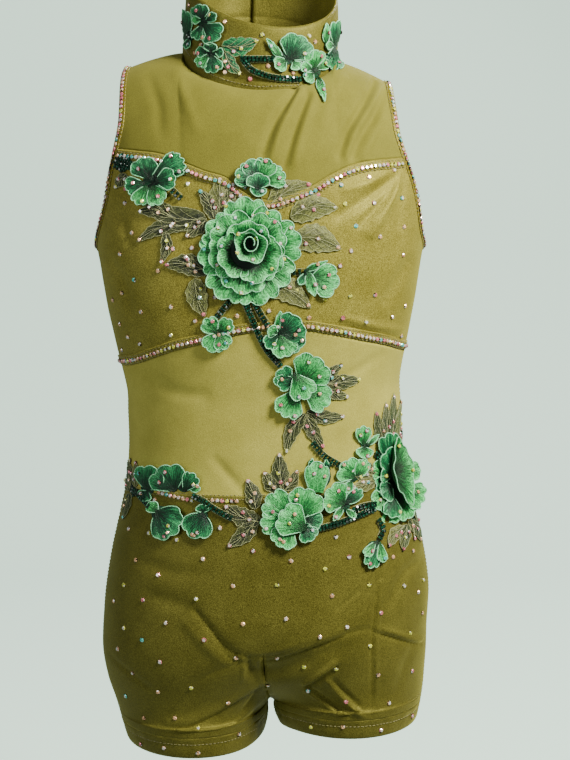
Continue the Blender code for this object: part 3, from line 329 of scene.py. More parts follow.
# PX, PY pairs of the creases, with WIDTH and RISE in millimetres, and SHARP: 1 for a sharp crease or
# 0 for a soft one
FRONT_CREASES = (
    ((195, 611), (210, 629), (224, 647), (237, 657), 1.8, -1.5, 1),
    ((186, 624), (206, 646), (222, 662), 4.0, 0.6, 0),
    ((222, 650), (228, 659), (241, 665), (251, 668), 1.5, -0.9, 1),
    ((236, 656), (254, 661), (273, 658), 1.6, -0.8, 1), ((252, 676), (276, 681), (306, 669), 6.5, -1.5, 0),
    ((262, 664), (284, 655), (312, 643), 1.5, -0.7, 1), ((150, 596), (178, 604), (196, 611), 6.0, -0.5, 0),
    ((190, 687), (222, 672), (250, 667), 2.4, -0.5, 1),
    ((258, 668), (280, 664), (310, 652), (335, 641), (353, 632), (374, 629), 1.4, -1.1, 1),
    ((262, 676), (300, 664), (334, 650), 8.0, -1.5, 0), ((262, 660), (300, 648), (340, 634), 4.5, 0.5, 0),
    ((375, 632), (397, 639), (421, 644), 1.4, -1.1, 1), ((375, 628), (397, 634), (421, 640), 1.8, 0.9, 0),
    ((378, 579), (374, 627), (373, 669), (372, 712), 1.5, -0.8, 1),
    ((381, 582), (377, 630), (376, 669), (375, 708), 1.8, 0.5, 0),
    ((305, 690), (319, 678), (335, 664), 1.9, 1.5, 0), ((308, 694), (323, 683), (338, 669), 1.7, -0.9, 0),
    ((307, 693), (323, 703), (344, 716), (355, 721), 1.4, -1.4, 1),
    ((306, 698), (322, 708), (340, 719), 1.5, 0.7, 0),
    ((328, 685), (340, 698), (353, 710), (369, 719), 1.9, 1.4, 0),
    ((334, 684), (346, 696), (359, 707), 1.8, -0.7, 0),
    ((165, 731), (190, 729), (218, 721), (241, 710), (266, 696), 2.2, -1.0, 1),
    ((170, 724), (196, 723), (228, 712), (262, 694), 4.0, 0.7, 0),
    ((225, 738), (246, 726), (268, 708), 3.0, 0.8, 0), ((243, 722), (252, 712), (259, 698), 1.6, -1.0, 1),
    ((249, 664), (252, 676), (256, 690), 1.8, -1.0, 1), ((258, 662), (259, 676), (260, 688), 2.0, 0.7, 0),
    ((240, 658), (244, 668), (243, 684), 1.8, 0.6, 0), ((339, 609), (348, 600), (358, 591), 1.6, -0.35, 0),
    ((110, 655), (128, 672), (149, 689), 2.6, -0.5, 0), ((412, 648), (404, 668), (398, 690), 4.0, -0.4, 0),
    ((403, 165), (392, 188), (375, 210), (360, 224), 2.2, -1.3, 1),
    ((404, 168), (395, 192), (383, 216), (372, 236), 2.6, 1.2, 0),
    ((403, 168), (372, 194), (340, 215), 4.2, -1.2, 0), ((405, 166), (403, 195), (400, 225), 3.4, -1.0, 0),
    ((400, 172), (386, 200), (368, 232), 4.0, 0.9, 0), ((398, 170), (368, 184), (345, 190), 3.0, 0.8, 0),
    ((408, 262), (398, 280), (388, 300), 4.4, -1.0, 0), ((340, 325), (375, 335), (402, 338), 2.6, -0.8, 1),
    ((345, 318), (376, 326), (402, 330), 3.0, 0.6, 0), ((112, 262), (124, 285), (130, 312), 4.0, -0.7, 0),
    ((110, 205), (122, 222), (130, 246), 3.4, -0.7, 0),
    ((295, 89), (284, 105), (274, 122), (262, 154), 2.6, -2.0, 0),
    ((301, 91), (291, 110), (281, 130), (271, 160), 2.4, 1.4, 0),
    ((308, 94), (300, 115), (292, 138), (284, 166), 2.6, -1.7, 0),
    ((315, 96), (307, 118), (300, 140), (294, 164), 2.6, 1.0, 0),
    ((375, 82), (361, 108), (348, 130), (339, 155), 2.6, -2.1, 0),
    ((381, 88), (367, 112), (354, 134), (346, 157), 2.2, 1.4, 0),
    ((386, 95), (373, 118), (361, 138), (353, 157), 2.4, -1.7, 0),
    ((392, 104), (381, 124), (370, 142), (363, 157), 2.6, 1.0, 0),
    ((342, 78), (330, 100), (322, 122), 3.6, 0.6, 0), ((150, 80), (158, 105), (160, 130), 4.4, -0.6, 0),
    ((176, 72), (186, 100), (196, 128), 4.4, 0.5, 0), ((215, 460), (228, 475), (242, 490), 3.6, -0.6, 0),
    ((150, 380), (175, 392), (205, 396), 5.0, -0.5, 0), ((380, 355), (355, 372), (338, 380), 4.0, -0.5, 0),
    ((140, 560), (170, 572), (205, 575), 6.0, -0.5, 0), ((160, 505), (182, 520), (196, 545), 4.0, -0.7, 0),
    ((420, 560), (404, 574), (392, 600), 5.0, -0.8, 0),
)

# X1, Z1, X2, Z2 of the creases in the hidden back, with WIDTH and RISE in millimetres, and SHARP
BACK_CREASES = (
    (-0.080, -0.300, -0.015, -0.325, 8.0, -1.6, 0), (0.082, -0.298, 0.020, -0.318, 8.0, -1.4, 0),
    (-0.070, -0.330, -0.020, -0.345, 7.0, 0.8, 0), (-0.070, -0.462, -0.020, -0.440, 7.0, -1.8, 0),
    (0.066, -0.466, 0.018, -0.442, 7.0, -1.6, 0), (-0.004, -0.395, -0.003, -0.462, 3.0, -1.6, 1),
    (0.014, -0.452, 0.050, -0.430, 4.0, 1.0, 0), (-0.016, -0.456, -0.060, -0.428, 4.0, 1.0, 0),
    (0.085, -0.105, 0.045, -0.135, 5.0, -1.1, 1), (-0.085, -0.108, -0.050, -0.140, 5.0, -1.0, 1),
    (0.078, -0.118, 0.052, -0.150, 4.0, 0.8, 0), (-0.088, -0.060, -0.050, -0.040, 4.0, -0.8, 1),
    (0.088, -0.058, 0.048, -0.038, 4.0, -0.9, 1), (-0.060, -0.255, 0.010, -0.262, 6.0, -0.6, 0),
    (0.060, -0.230, 0.012, -0.240, 5.0, -0.6, 0), (-0.090, -0.384, -0.052, -0.372, 6.0, -0.8, 0),
    (0.092, -0.390, 0.058, -0.380, 6.0, -0.7, 0),
)


def sight(px, py):
    """The direction in which the viewer sees a reading."""
    ahead = np.array((0.0, math.cos(EYE_TILT), -math.sin(EYE_TILT)))
    up = np.array((0.0, math.sin(EYE_TILT), math.cos(EYE_TILT)))
    across, down = px - EYE_CENTRE[0], py - EYE_CENTRE[1]
    return unit(ahead * EYE_FOCAL + np.array((across, 0.0, 0.0)) - up * down)


def read_form(px, py):
    """X and Z of the straight form at a reading of the front."""
    way = sight(px, py)
    y = -0.06
    for _ in range(14):
        hit = EYE + way * ((y - EYE[1]) / way[1])
        x, z = hit[0], hit[2]
        for _ in range(6):
            now = posed((x, y, z))
            x, z = x + hit[0] - now[0], z + hit[2] - now[2]
        limit = 0.985 * float(half_width(-1, z))
        y += 0.6 * (float(level(max(min(x, limit), -limit), -1, z)) - y)
    return x, z


def crease_lines():
    """The creases of both sides as lists of points, each with its width, rise and sharpness."""
    lines = {-1: [], 1: []}
    for *readings, width, rise, sharp in FRONT_CREASES:
        points = np.array([read_form(px, py) for px, py in readings])
        lines[-1].append((smooth_loop(points, 5, False), width * 0.001, rise * 0.001, sharp))
    for x1, z1, x2, z2, width, rise, sharp in BACK_CREASES:
        bow = 0.06 * math.hypot(x2 - x1, z2 - z1)
        points = np.array(((x1, z1), ((x1 + x2) / 2, (z1 + z2) / 2 - bow), (x2, z2)))
        lines[1].append((smooth_loop(points, 5, False), width * 0.001, rise * 0.001, sharp))
    return lines


CREASES = crease_lines()
CREASE_DEPTH = 2.2
HEM_CALM = 0.010
ARMHOLE_CALM = 0.014


def relief(side, x, z):
    """How far the creases move the cloth out at x and z."""
    total = np.zeros_like(x)
    for points, width, rise, sharp in CREASES[side]:
        best = np.full_like(x, 1e9)
        share = np.zeros_like(x)
        steps = len(points) - 1
        for k in range(steps):
            (ax, az), (bx, bz) = points[k], points[k + 1]
            dx, dz = bx - ax, bz - az
            t = np.clip(((x - ax) * dx + (z - az) * dz) / max(dx * dx + dz * dz, 1e-12), 0, 1)
            off = np.hypot(x - ax - t * dx, z - az - t * dz)
            closer = off < best
            best = np.where(closer, off, best)
            share = np.where(closer, (k + t) / steps, share)
        swell = 0.35 + 0.65 * np.sin(np.pi * (0.12 + 0.76 * share))
        fall = np.exp(-best / width) if sharp else np.exp(-((best / width) ** 2))
        total += CREASE_DEPTH * rise * swell * fall
    return total


def ripple(side, x, z):
    """The slight unevenness of worn stretch cloth."""
    a = np.sin(61 * x + 23 * z + 1.3 * side) * np.sin(17 * x - 83 * z + 0.7)
    b = np.sin(131 * x - 97 * z + 2.1) * np.sin(71 * x + 149 * z)
    return 0.00022 * a + 0.00010 * b


def dressed(base, side, still=0.02):
    """A grid of the straight form moved out along its normals by the creases, then posed."""
    du, dv = np.gradient(base, axis=1), np.gradient(base, axis=0)
    normal = unit(np.cross(du, dv))
    outward = np.sign(np.sum(normal[..., 1] * side))
    calm = eased(np.clip(np.abs(base[..., 1]) / still, 0, 1))
    x, z = base[..., 0], base[..., 2]
    calm = calm * np.clip((z - HEM_TOP_Z) / HEM_CALM, 0, 1)
    inside = np.clip((half_width(side, z) - np.abs(x)) / ARMHOLE_CALM, 0, 1)
    calm = np.where(z > ARMPIT_Z - 0.006, calm * eased(inside), calm)
    rise = (relief(side, x, z) + ripple(side, x, z)) * calm
    return posed(base + normal * outward * rise[..., None])


def even(count):
    """Shares from -1 to 1, a little closer at the sides."""
    return spread(np.linspace(-1, 1, count), 2.2)


def belt_panel(side, cols, rows, lower, upper):
    """A panel between two seams that runs from side seam to side seam. Rows run upwards."""
    q = even(cols)[None, :]
    share = np.linspace(0, 1, rows)[:, None]
    z = table(lower, 1, q) * (1 - share) + table(upper, 1, q) * share
    x = q * table(BODY, 1, z)
    return form_points(x, side, z)


def bust_panel(side, cols, rows, lower, upper, corner_z):
    """A satin panel from its lower seam past the armpits to its top seam."""
    edge = EDGES[side]
    start = edge[0, 2]
    line = edge[edge[:, 2] < corner_z - 0.0004]
    corner = np.array([np.interp(corner_z, edge[:, 2], edge[:, k]) for k in range(3)])
    line = np.concatenate((line, corner[None, :]))
    q = even(cols)
    z0, z1 = table(lower, 1, q), table(upper, 1, q)
    middle = z0 + (z1 - z0) * (start - z0) / (corner_z - z0)
    middle[[0, -1]] = start
    grid = []
    for share in np.linspace(0, 1, rows)[:-1]:
        z = z0 + (middle - z0) * share
        x = q * np.where(z < start, table(BODY, 1, z), half_width(side, z))
        grid.append(form_points(x, side, z))
    for at in line:
        share = (at[2] - start) / (corner_z - start)
        z = middle + (z1 - middle) * share
        x = q * half_width(side, z)
        row = form_points(x, side, z)
        row[0] = (-at[0], at[1], at[2])
        row[-1] = at
        grid.append(row)
    return np.array(grid)


def yoke_panel(side, cols, lower, corner_z, half=0):
    """The mesh up to the shoulder seams and the neck seam, whole or one half of it."""
    edge = EDGES[side]
    corner = np.array([np.interp(corner_z, edge[:, 2], edge[:, k]) for k in range(3)])
    line = np.concatenate((corner[None, :], edge[edge[:, 2] > corner_z + 0.0004]))
    tip = line[-1]
    _, tops = column_top(line[:, 0], side)
    phis = np.arcsin(np.clip((line[:, 2] - ARMPIT_Z) / (tops - ARMPIT_Z), 0, 1))
    phis[-1] = np.pi / 2
    s = np.linspace(0 if half else -1, 1, cols)
    q = np.sin(np.abs(s) * np.pi / 2) ** 0.95
    into = np.clip(np.abs(s) / NECK_SHARE, 0, 1)
    past = np.clip((np.abs(s) - NECK_SHARE) / (1 - NECK_SHARE), 0, 1)
    x_top = NECK_HALF_WIDTH * np.sin(np.pi / 2 * into) + (tip[0] - NECK_HALF_WIDTH) * past
    sign = np.where(s < 0, -1.0, 1.0)
    z_low = table(lower, 1, q * sign)
    x_low = q * half_width(side, z_low)
    _, top_low = column_top(x_low, side)
    phi_low = np.arcsin(np.clip((z_low - ARMPIT_Z) / (top_low - ARMPIT_Z), 0, 1))
    grid = []
    for j, phi_side in enumerate(phis):
        t = (phi_side - phis[0]) / (phis[-1] - phis[0])
        phi = phi_low * (1 - t) + np.pi / 2 * t
        wide = line[j, 0] + (half_width(side, z_low) - line[0, 0]) * (1 - t)
        x = (q + (x_top / tip[0] - q) * t) * wide
        row = arc(x, side, phi)
        row[-1] = line[j]
        if not half:
            row[0] = line[j]
        row[:, 0] *= sign
        grid.append(row)
    grid = np.array(grid)
    if half < 0:
        grid[..., 0] *= -1
        grid = grid[:, ::-1]
    return grid


def leg_point(side, s, z):
    """Points of a leg tube on the +X side: s is 0 at the inside and 1 at the outside."""
    inner = np.where(z < CROTCH_Z, table(LEG_GAP, 1, z), 0.0)
    outer = table(BODY, 1, z)
    middle, radius = (inner + outer) / 2, (outer - inner) / 2
    y = side * table(THIGH, 1 if side < 0 else 2, z) * np.sin(np.pi * s)
    return np.stack((middle - radius * np.cos(np.pi * s), y, z + 0 * s), -1)


END_ROWS = 7


def shorts_side(side, cols, body_rows, blend_rows, sign):
    """One leg's half of the shorts on one side, from the waist down to the hem band."""
    waist = WAIST if side < 0 else BACK_WAIST
    s = np.linspace(0, 1, cols)
    top = table(waist, 1, sign * spread(s))
    rows = []
    for j in range(body_rows + blend_rows + 1 + END_ROWS):
        if j <= body_rows:
            z, blend = top + (BLEND_Z - top) * j / body_rows, 0.0
        elif j <= body_rows + blend_rows:
            turn = math.pi / 2 * (j - body_rows) / blend_rows
            z = np.full(cols, BLEND_Z + (CROTCH_Z - BLEND_Z) * math.sin(turn))
            blend = 1 - math.cos(turn)
        else:
            share = (j - body_rows - blend_rows) / END_ROWS
            z, blend = np.full(cols, CROTCH_Z + (HEM_TOP_Z - CROTCH_Z) * share), 1.0
        x = spread(s) * table(BODY, 1, z)
        row = form_points(x, side, z) * (1 - blend) + leg_point(side, s, z) * blend
        row[:, 0] *= sign
        rows.append(row)
    grid = np.array(rows)[::-1]
    return grid if sign > 0 else grid[:, ::-1]


def feed(tree, socket, value):
    """Sets an input to a value or a colour, or links it to another node's output."""
    if isinstance(value, bpy.types.NodeSocket):
        tree.links.new(value, socket)
    else:
        socket.default_value = (*value, 1.0) if isinstance(value, tuple) else value


def add(tree, kind, **values):
    """A node of a material or group, with its own fields and its inputs set or linked by name."""
    node = tree.nodes.new(kind)
    for name, value in values.items():
        if hasattr(node, name) and name not in node.inputs:
            setattr(node, name, value)
        else:
            feed(tree, node.inputs[name.replace("_", " ")], value)
    return node


def ramp(tree, source, stops):
    """A colour ramp fed by a value. Each stop is a place and a colour."""
    node = tree.nodes.new("ShaderNodeValToRGB")
    elements = node.color_ramp.elements
    while len(elements) < len(stops):
        elements.new(0.5)
    for element, (at, colour) in zip(elements, stops):
        element.position = at
        element.color = (*colour, 1.0)
    tree.links.new(source, node.inputs["Fac"])
    return node.outputs["Color"]


def mixed(tree, share, a, b, how="MIX"):
    """A mix of two colours or sockets by a share that may be a socket too."""
    node = tree.nodes.new("ShaderNodeMix")
    node.data_type = "RGBA"
    node.blend_type = how
    for socket, value in ((node.inputs["Factor"], share), (node.inputs[6], a), (node.inputs[7], b)):
        feed(tree, socket, value)
    return node.outputs[2]


def maths(tree, how, a, b=0.0, c=0.0):
    node = tree.nodes.new("ShaderNodeMath")
    node.operation = how
    for socket, value in zip(node.inputs, (a, b, c)):
        feed(tree, socket, value)
    return node.outputs[0]


def new_group(name, inputs, outputs):
    """A shader node group. An input with a value is a number, and one without it a vector."""
    group = bpy.data.node_groups.new(name, "ShaderNodeTree")
    for label, value in inputs.items():
        kind = "NodeSocketVector" if value is None else "NodeSocketFloat"
        socket = group.interface.new_socket(label, in_out="INPUT", socket_type=kind)
        if value is not None:
            socket.default_value = value
    for label, kind in outputs.items():
        group.interface.new_socket(label, in_out="OUTPUT", socket_type="NodeSocket" + kind)
    return group, group.nodes.new("NodeGroupInput").outputs


def give(group, **results):
    """Links the results of a group to its outputs."""
    made = group.nodes.new("NodeGroupOutput")
    for name, result in results.items():
        group.links.new(result, made.inputs[name])
    return group


def knit_grain():
    """The fine grain of stretch cloth: a soft mottle, a fine speck that is partly painted glint, a knit of
    small loops and their height.
    """
    group, given = new_group(
        "Knit grain",
        {"Loops per metre": 1500.0, "Mottle per metre": 60.0, "Vector": None},
        {"Speck": "Float", "Mottle": "Float", "Height": "Float"},
    )
    at, fine, coarse = given["Vector"], given["Loops per metre"], given["Mottle per metre"]
    # The speck is partly the knit's grain and partly painted glints of the cloth's sparkle.
    speck = add(group, "ShaderNodeTexNoise", Vector=at, Scale=fine, Detail=1.5, Roughness=0.6)
    soft = add(group, "ShaderNodeTexNoise", Vector=at, Scale=coarse, Detail=3.0, Roughness=0.55)
    loops = add(group, "ShaderNodeTexVoronoi", feature="F1", Vector=at, Scale=fine)
    height = maths(group, "SUBTRACT", 1.0, loops.outputs["Distance"])
    height = maths(group, "ADD", height, speck.outputs["Fac"])
    return give(group, Speck=speck.outputs["Fac"], Mottle=soft.outputs["Fac"], Height=height)


def thread_lay():
    """Satin stitch: fine raised threads, whose lay wanders, with their shade and height."""
    group, given = new_group(
        "Thread lay",
        {"Threads per metre": 1400.0, "Wander": 3.0, "Vector": None},
        {"Shade": "Float", "Patch": "Float", "Height": "Float"},
    )
    threads = add(
        group, "ShaderNodeTexWave", wave_type="BANDS", bands_direction="DIAGONAL", Detail=2.0,
        Detail_Scale=1.5, Vector=given["Vector"], Distortion=given["Wander"],
        Scale=maths(group, "MULTIPLY", given["Threads per metre"], 0.31),
    )
    patchy = add(group, "ShaderNodeTexNoise", Vector=given["Vector"], Scale=220.0, Detail=2.0)
    fine = add(group, "ShaderNodeTexNoise", Vector=given["Vector"], Scale=1800.0, Detail=1.0)
    shade = maths(group, "MULTIPLY_ADD", threads.outputs["Fac"], 0.6, 0.0)
    shade = maths(group, "MULTIPLY_ADD", fine.outputs["Fac"], 0.4, shade)
    return give(group, Shade=shade, Patch=patchy.outputs["Fac"], Height=threads.outputs["Fac"])


KNIT = knit_grain()
THREAD = thread_lay()


def new_material(name, rough, **fields):
    """A material with its Principled shader, its tree and the shader's plain fields."""
    material = bpy.data.materials.new(name)
    material.use_nodes = True
    tree = material.node_tree
    shader = tree.nodes["Principled BSDF"]
    shader.inputs["Roughness"].default_value = rough
    for field, value in fields.items():
        shader.inputs[field.replace("_", " ")].default_value = value
    return material, tree, shader


def placed_group(tree, group, **values):
    node = tree.nodes.new("ShaderNodeGroup")
    node.node_tree = group
    for name, value in values.items():
        node.inputs[name.replace("_", " ")].default_value = value
    coords = tree.nodes.new("ShaderNodeTexCoord")
    tree.links.new(coords.outputs["Object"], node.inputs["Vector"])
    return node


def bumped(tree, shader, height, strength, distance):
    bump = add(tree, "ShaderNodeBump", Strength=strength, Distance=distance, Height=height)
    tree.links.new(bump.outputs["Normal"], shader.inputs["Normal"])


def cloth_material(name, dark, light, rim, rough, loops, speck, grain, **fields):
    """Stretch cloth: a soft mottle between two tones, a speckle that is partly painted glint, and a painted
    sheen, a lighter rim colour where the cloth turns from the viewer.
    """
    material, tree, shader = new_material(name, rough, **fields)
    knit = placed_group(tree, KNIT, Loops_per_metre=loops, Mottle_per_metre=45.0)
    base = ramp(tree, knit.outputs["Mottle"], ((0.18, dark), (0.82, light)))
    # The speckle darkens the colour in fine spots: partly the knit's grain, partly painted glints of its
    # sparkle.
    grey = ramp(tree, knit.outputs["Speck"], ((0.38, (0.36, 0.35, 0.28)), (0.64, (1.0, 1.0, 1.0))))
    base = mixed(tree, speck, base, grey, "MULTIPLY")
    # A lighter rim colour where the cloth turns from the viewer: painted sheen.
    facing = add(tree, "ShaderNodeLayerWeight", Blend=0.30).outputs["Facing"]
    base = mixed(tree, maths(tree, "MULTIPLY", facing, PAINTED_SHEEN_SHARE), base, rim)
    tree.links.new(base, shader.inputs["Base Color"])
    bumped(tree, shader, knit.outputs["Height"], grain, 0.0002)
    return material


# How much of the painted sheen colour reaches the rims.
PAINTED_SHEEN_SHARE = 0.2
SATIN_CLOTH = {
    "rough": 0.47, "loops": 1500.0, "speck": 1.0, "grain": 0.6,
    "Specular_IOR_Level": 0.5, "Specular_Tint": (1.0, 0.92, 0.22, 1.0),
    "Sheen_Weight": 0.45, "Sheen_Roughness": 0.4, "Sheen_Tint": (0.82, 0.78, 0.14, 1.0),
}
BINDING_CLOTH = {**SATIN_CLOTH, "rough": 0.43, "loops": 1400.0, "speck": 0.8, "grain": 0.4}
MESH_CLOTH = {
    "rough": 0.80, "loops": 1700.0, "speck": 0.45, "grain": 0.5, "Specular_IOR_Level": 0.15,
    "Sheen_Weight": 0.12, "Sheen_Roughness": 0.6, "Sheen_Tint": (0.85, 0.80, 0.28, 1.0),
}
# The third colour of each cloth is its painted sheen at the rims.
SATIN = cloth_material(
    "olive satin", (0.205, 0.180, 0.026), (0.345, 0.311, 0.064), (0.40, 0.35, 0.07), **SATIN_CLOTH
)
# The same olive satin, darker: painted shade for the shorts, the hem bands and the collar.
SHADED_SATIN = cloth_material(
    "olive satin in painted shade", (0.093, 0.086, 0.013), (0.162, 0.151, 0.029), (0.26, 0.23, 0.04), **SATIN_CLOTH
)
MESH = cloth_material(
    "olive mesh", (0.155, 0.146, 0.017), (0.212, 0.200, 0.028), (0.36, 0.34, 0.08), **MESH_CLOTH
)
MESH_SHEER = cloth_material(
    "stretched olive mesh", (0.370, 0.338, 0.058), (0.500, 0.462, 0.092), (0.47, 0.44, 0.12), **MESH_CLOTH
)
BINDING = cloth_material(
    "olive binding", (0.130, 0.101, 0.007), (0.200, 0.164, 0.015), (0.33, 0.30, 0.05), **BINDING_CLOTH
)


def thread_material(name, dark, middle, light, rough=0.5, threads=1400.0, wander=3.0, bump=0.7):
    """Embroidery thread in three tones along its lay."""
    material, tree, shader = new_material(name, rough, Sheen_Weight=0.3, Specular_IOR_Level=0.5)
    lay = placed_group(tree, THREAD, Threads_per_metre=threads, Wander=wander)
    tone = maths(tree, "MULTIPLY_ADD", lay.outputs["Patch"], 0.55, lay.outputs["Shade"])
    base = ramp(tree, tone, ((0.42, dark), (0.62, middle), (0.90, light)))
    tree.links.new(base, shader.inputs["Base Color"])
    bumped(tree, shader, lay.outputs["Height"], bump, 0.0003)
    return material


STITCH = thread_material("olive stitching", (0.10, 0.09, 0.02), (0.20, 0.18, 0.05), (0.32, 0.29, 0.10))

ROOT = "root"
WELD_REACH = 0.00005

# The lines beside the seams and the points of each band, which stones and stitches follow
SEAMS, BANDS = [], {}


def stands_for(name):
    """The node of the solid that a piece stands for, where there is one of its name."""
    return (name,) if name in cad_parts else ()


def new_piece(name, points, faces, materials, smooth=True, replaces=(), shades=None):
    """A mesh piece of the garment, riding on its only body."""
    mesh = bpy.data.meshes.new(name)
    corners = faces.tolist() if isinstance(faces, np.ndarray) else [tuple(face) for face in faces]
    mesh.from_pydata(np.asarray(points).reshape(-1, 3).tolist(), [], corners)
    mesh.update()
    obj = bpy.data.objects.new(name, mesh)
    bpy.context.scene.collection.objects.link(obj)
    for material in materials:
        mesh.materials.append(material)
    if shades is not None:
        mesh.polygons.foreach_set("material_index", np.asarray(shades, dtype=np.int32))
    mesh.polygons.foreach_set("use_smooth", [smooth] * len(mesh.polygons))
    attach(obj, ROOT)
    if replaces:
        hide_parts(*replaces)
    return obj


def closed_line(ring):
    """A ring of points, or of sections, that ends with its first one."""
    return np.concatenate((ring, ring[:1]))


def run_length(points):
    return float(np.linalg.norm(np.diff(points, axis=0), axis=1).sum())


def grid_area(grid):
    a, b = grid[1:, 1:] - grid[:-1, :-1], grid[1:, :-1] - grid[:-1, 1:]
    return float(np.linalg.norm(np.cross(a, b), axis=-1).sum() / 2)


SKIN_POINTS, SKIN_FACES = [], []


def keep_skin(grid, turned, closed=False):
    """Adds a posed grid to the surface that applique, stones and stitches lie on."""
    start = sum(len(points) for points in SKIN_POINTS)
    SKIN_POINTS.append(grid.reshape(-1, 3))
    SKIN_FACES.append(grid_faces(*grid.shape[:2], closed=closed, turned=turned) + start)


def state_cut(wide, tall, area):
    """Works out the flat cut of a stretched piece from its size as worn; the result is not kept."""
    wide, tall = round(wide / STRETCH, 3), round(tall / STRETCH, 3)
    area = min(area / STRETCH ** 2, wide * tall)


def declare_sheet(grids):
    """Works out the flat cut of a stretched panel from its own rows and columns, through state_cut, which
    keeps nothing.
    """
    wide = sum(max(run_length(row) for row in grid) for grid in grids)
    tall = max(run_length(grid[:, k]) for grid in grids for k in range(grid.shape[1]))
    state_cut(wide, tall, sum(grid_area(grid) for grid in grids))


def cloth_panel(name, grids, side, material):
    """A posed cloth panel of one or more grids, with its wall behind it."""
    points, faces = [], []
    for grid in grids:
        start = sum(len(p) for p in points)
        points.append(grid.reshape(-1, 3))
        faces.append(grid_faces(*grid.shape[:2], turned=side > 0) + start)
        keep_skin(grid, side > 0)
    obj = new_piece(name + "_cloth", np.concatenate(points), np.concatenate(faces), (material,),
                    replaces=(name,))
    if len(grids) > 1:
        weld = obj.modifiers.new("middle", "WELD")
        weld.merge_threshold = WELD_REACH
    solid = obj.modifiers.new("cloth", "SOLIDIFY")
    solid.thickness = CLOTH
    solid.offset = -1.0
    solid.use_quality_normals = True
    declare_sheet(grids)


def body_panels():
    """The front and back of the bust, midriff, yoke and shorts, with the lines beside their seams."""
    for side, end, cols in ((-1, "front", 220), (1, "back", 130)):
        under = UNDERBUST if side < 0 else BACK_UNDER
        top = SWEETHEART if side < 0 else BACK_TOP
        waist = WAIST if side < 0 else BACK_WAIST
        corner = FRONT_CORNER_Z if side < 0 else BACK_CORNER_Z
        grid = dressed(bust_panel(side, cols, 84 if side < 0 else 52, under, top, corner), side)
        cloth_panel("bust_" + end, [grid], side, SATIN)
        SEAMS.extend((grid[:, 1], grid[:, -2], *((grid[-2], grid[1]) if side > 0 else ())))
        grid = dressed(belt_panel(side, cols, 60 if side < 0 else 40, waist, under), side)
        cloth_panel("midriff_" + end, [grid], side, MESH_SHEER)
        SEAMS.extend((grid[:, 1], grid[:, -2], grid[1], *((grid[-2],) if side > 0 else ())))
        rows = (90, 70) if side < 0 else (52, 42)
        legs = [dressed(shorts_side(side, cols // 2, *rows, sign), side) for sign in (-1, 1)]
        # The shorts take the darker satin: painted shade.
        cloth_panel("shorts_" + end, legs, side, SHADED_SATIN)
        SEAMS.extend((legs[0][:, 1], legs[1][:, -2], legs[0][-2], legs[1][-2]))
    grid = dressed(yoke_panel(-1, 191, SWEETHEART, FRONT_CORNER_Z), -1, 0.012)
    cloth_panel("yoke_front", [grid], -1, MESH)
    for name, half in (("yoke_back_left", -1), ("yoke_back_right", 1)):
        grid = dressed(yoke_panel(1, 61, BACK_TOP, BACK_CORNER_Z, half), 1, 0.012)
        cloth_panel(name, [grid], 1, MESH)
        slit = 1 if abs(grid[:, 0, 0].mean()) < abs(grid[:, -1, 0].mean()) else -2
        SEAMS.extend((grid[:, slit], grid[1]))


def tube_piece(name, sections, material, closed, replaces):
    """A solid through sections of equal count, a closed ring or a bar with two ends."""
    sections = np.asarray(sections)
    count, around = sections.shape[:2]
    rows = closed_line(sections) if closed else sections
    faces = grid_faces(len(rows), around, closed=True)
    faces = np.where(faces >= count * around, faces - count * around, faces) if closed else faces
    faces = [tuple(face) for face in faces]
    if not closed:
        faces.append(tuple(range(around - 1, -1, -1)))
        faces.append(tuple((count - 1) * around + m for m in range(around)))
    points = sections.reshape(-1, 3)
    volume = 0.0
    for face in faces:
        for m in range(1, len(face) - 1):
            volume += points[face[0]] @ np.cross(points[face[m]], points[face[m + 1]])
    if volume < 0:
        faces = [face[::-1] for face in faces]
    return new_piece(name, points, faces, (material,), replaces=replaces)


BAND_SECTION = (
    (0.00, -1.8), (0.00, -0.4), (0.05, 0.45), (0.16, 0.85), (0.32, 1.0), (0.5, 1.05), (0.68, 1.0),
    (0.84, 0.85), (0.95, 0.45), (1.00, -0.4), (1.00, -1.8),
)


def bindings():
    """The bound edge of each armhole, a rounded band with a stitched line at its inner side."""
    outer = smooth_loop(HOLE, EDGE_STEPS)
    inner = smooth_loop(beside(HOLE, BINDING_WIDTH), EDGE_STEPS)
    normals = []
    for edge in (outer + inner) / 2:
        front, back = on_form(edge, -1)[1], on_form(edge, 1)[1]
        share = np.clip(0.5 + edge[1] / 0.012, 0, 1)
        normals.append(unit(front * (1 - share) + back * share))
    normals = np.array(normals)
    for _ in range(6):
        normals = unit(normals * 0.5 + (np.roll(normals, 1, 0) + np.roll(normals, -1, 0)) * 0.25)
    for sign, name in ((-1, "armhole_left"), (1, "armhole_right")):
        sections = []
        for a, b, n in zip(outer, inner, normals):
            section = np.array([a + (b - a) * t + n * rise * 0.001 for t, rise in BAND_SECTION])
            section[:, 0] *= sign
            sections.append(posed(section))
        obj = tube_piece(name + "_binding", sections, BINDING, True, (name,))
        sections = np.array(sections)
        long = run_length(sections[:, 5])
        state_cut(long, 2 * BINDING_WIDTH, long * (BINDING_WIDTH + 0.004))
        BANDS[name] = sections


def yoke_height(x, y):
    """The height of the shoulder form over points in plan, near the neck."""
    side = -1 if y < 0 else 1
    y_low = float(torso_depth(x, side, np.array(ARMPIT_Z)))
    y_top, z_top = (float(v) for v in column_top(np.array(x), side))
    share = min(max((y - y_top) / (y_low - y_top), 0.0), 1.0)
    return ARMPIT_Z + (z_top - ARMPIT_Z) * math.sqrt(1 - share * share)


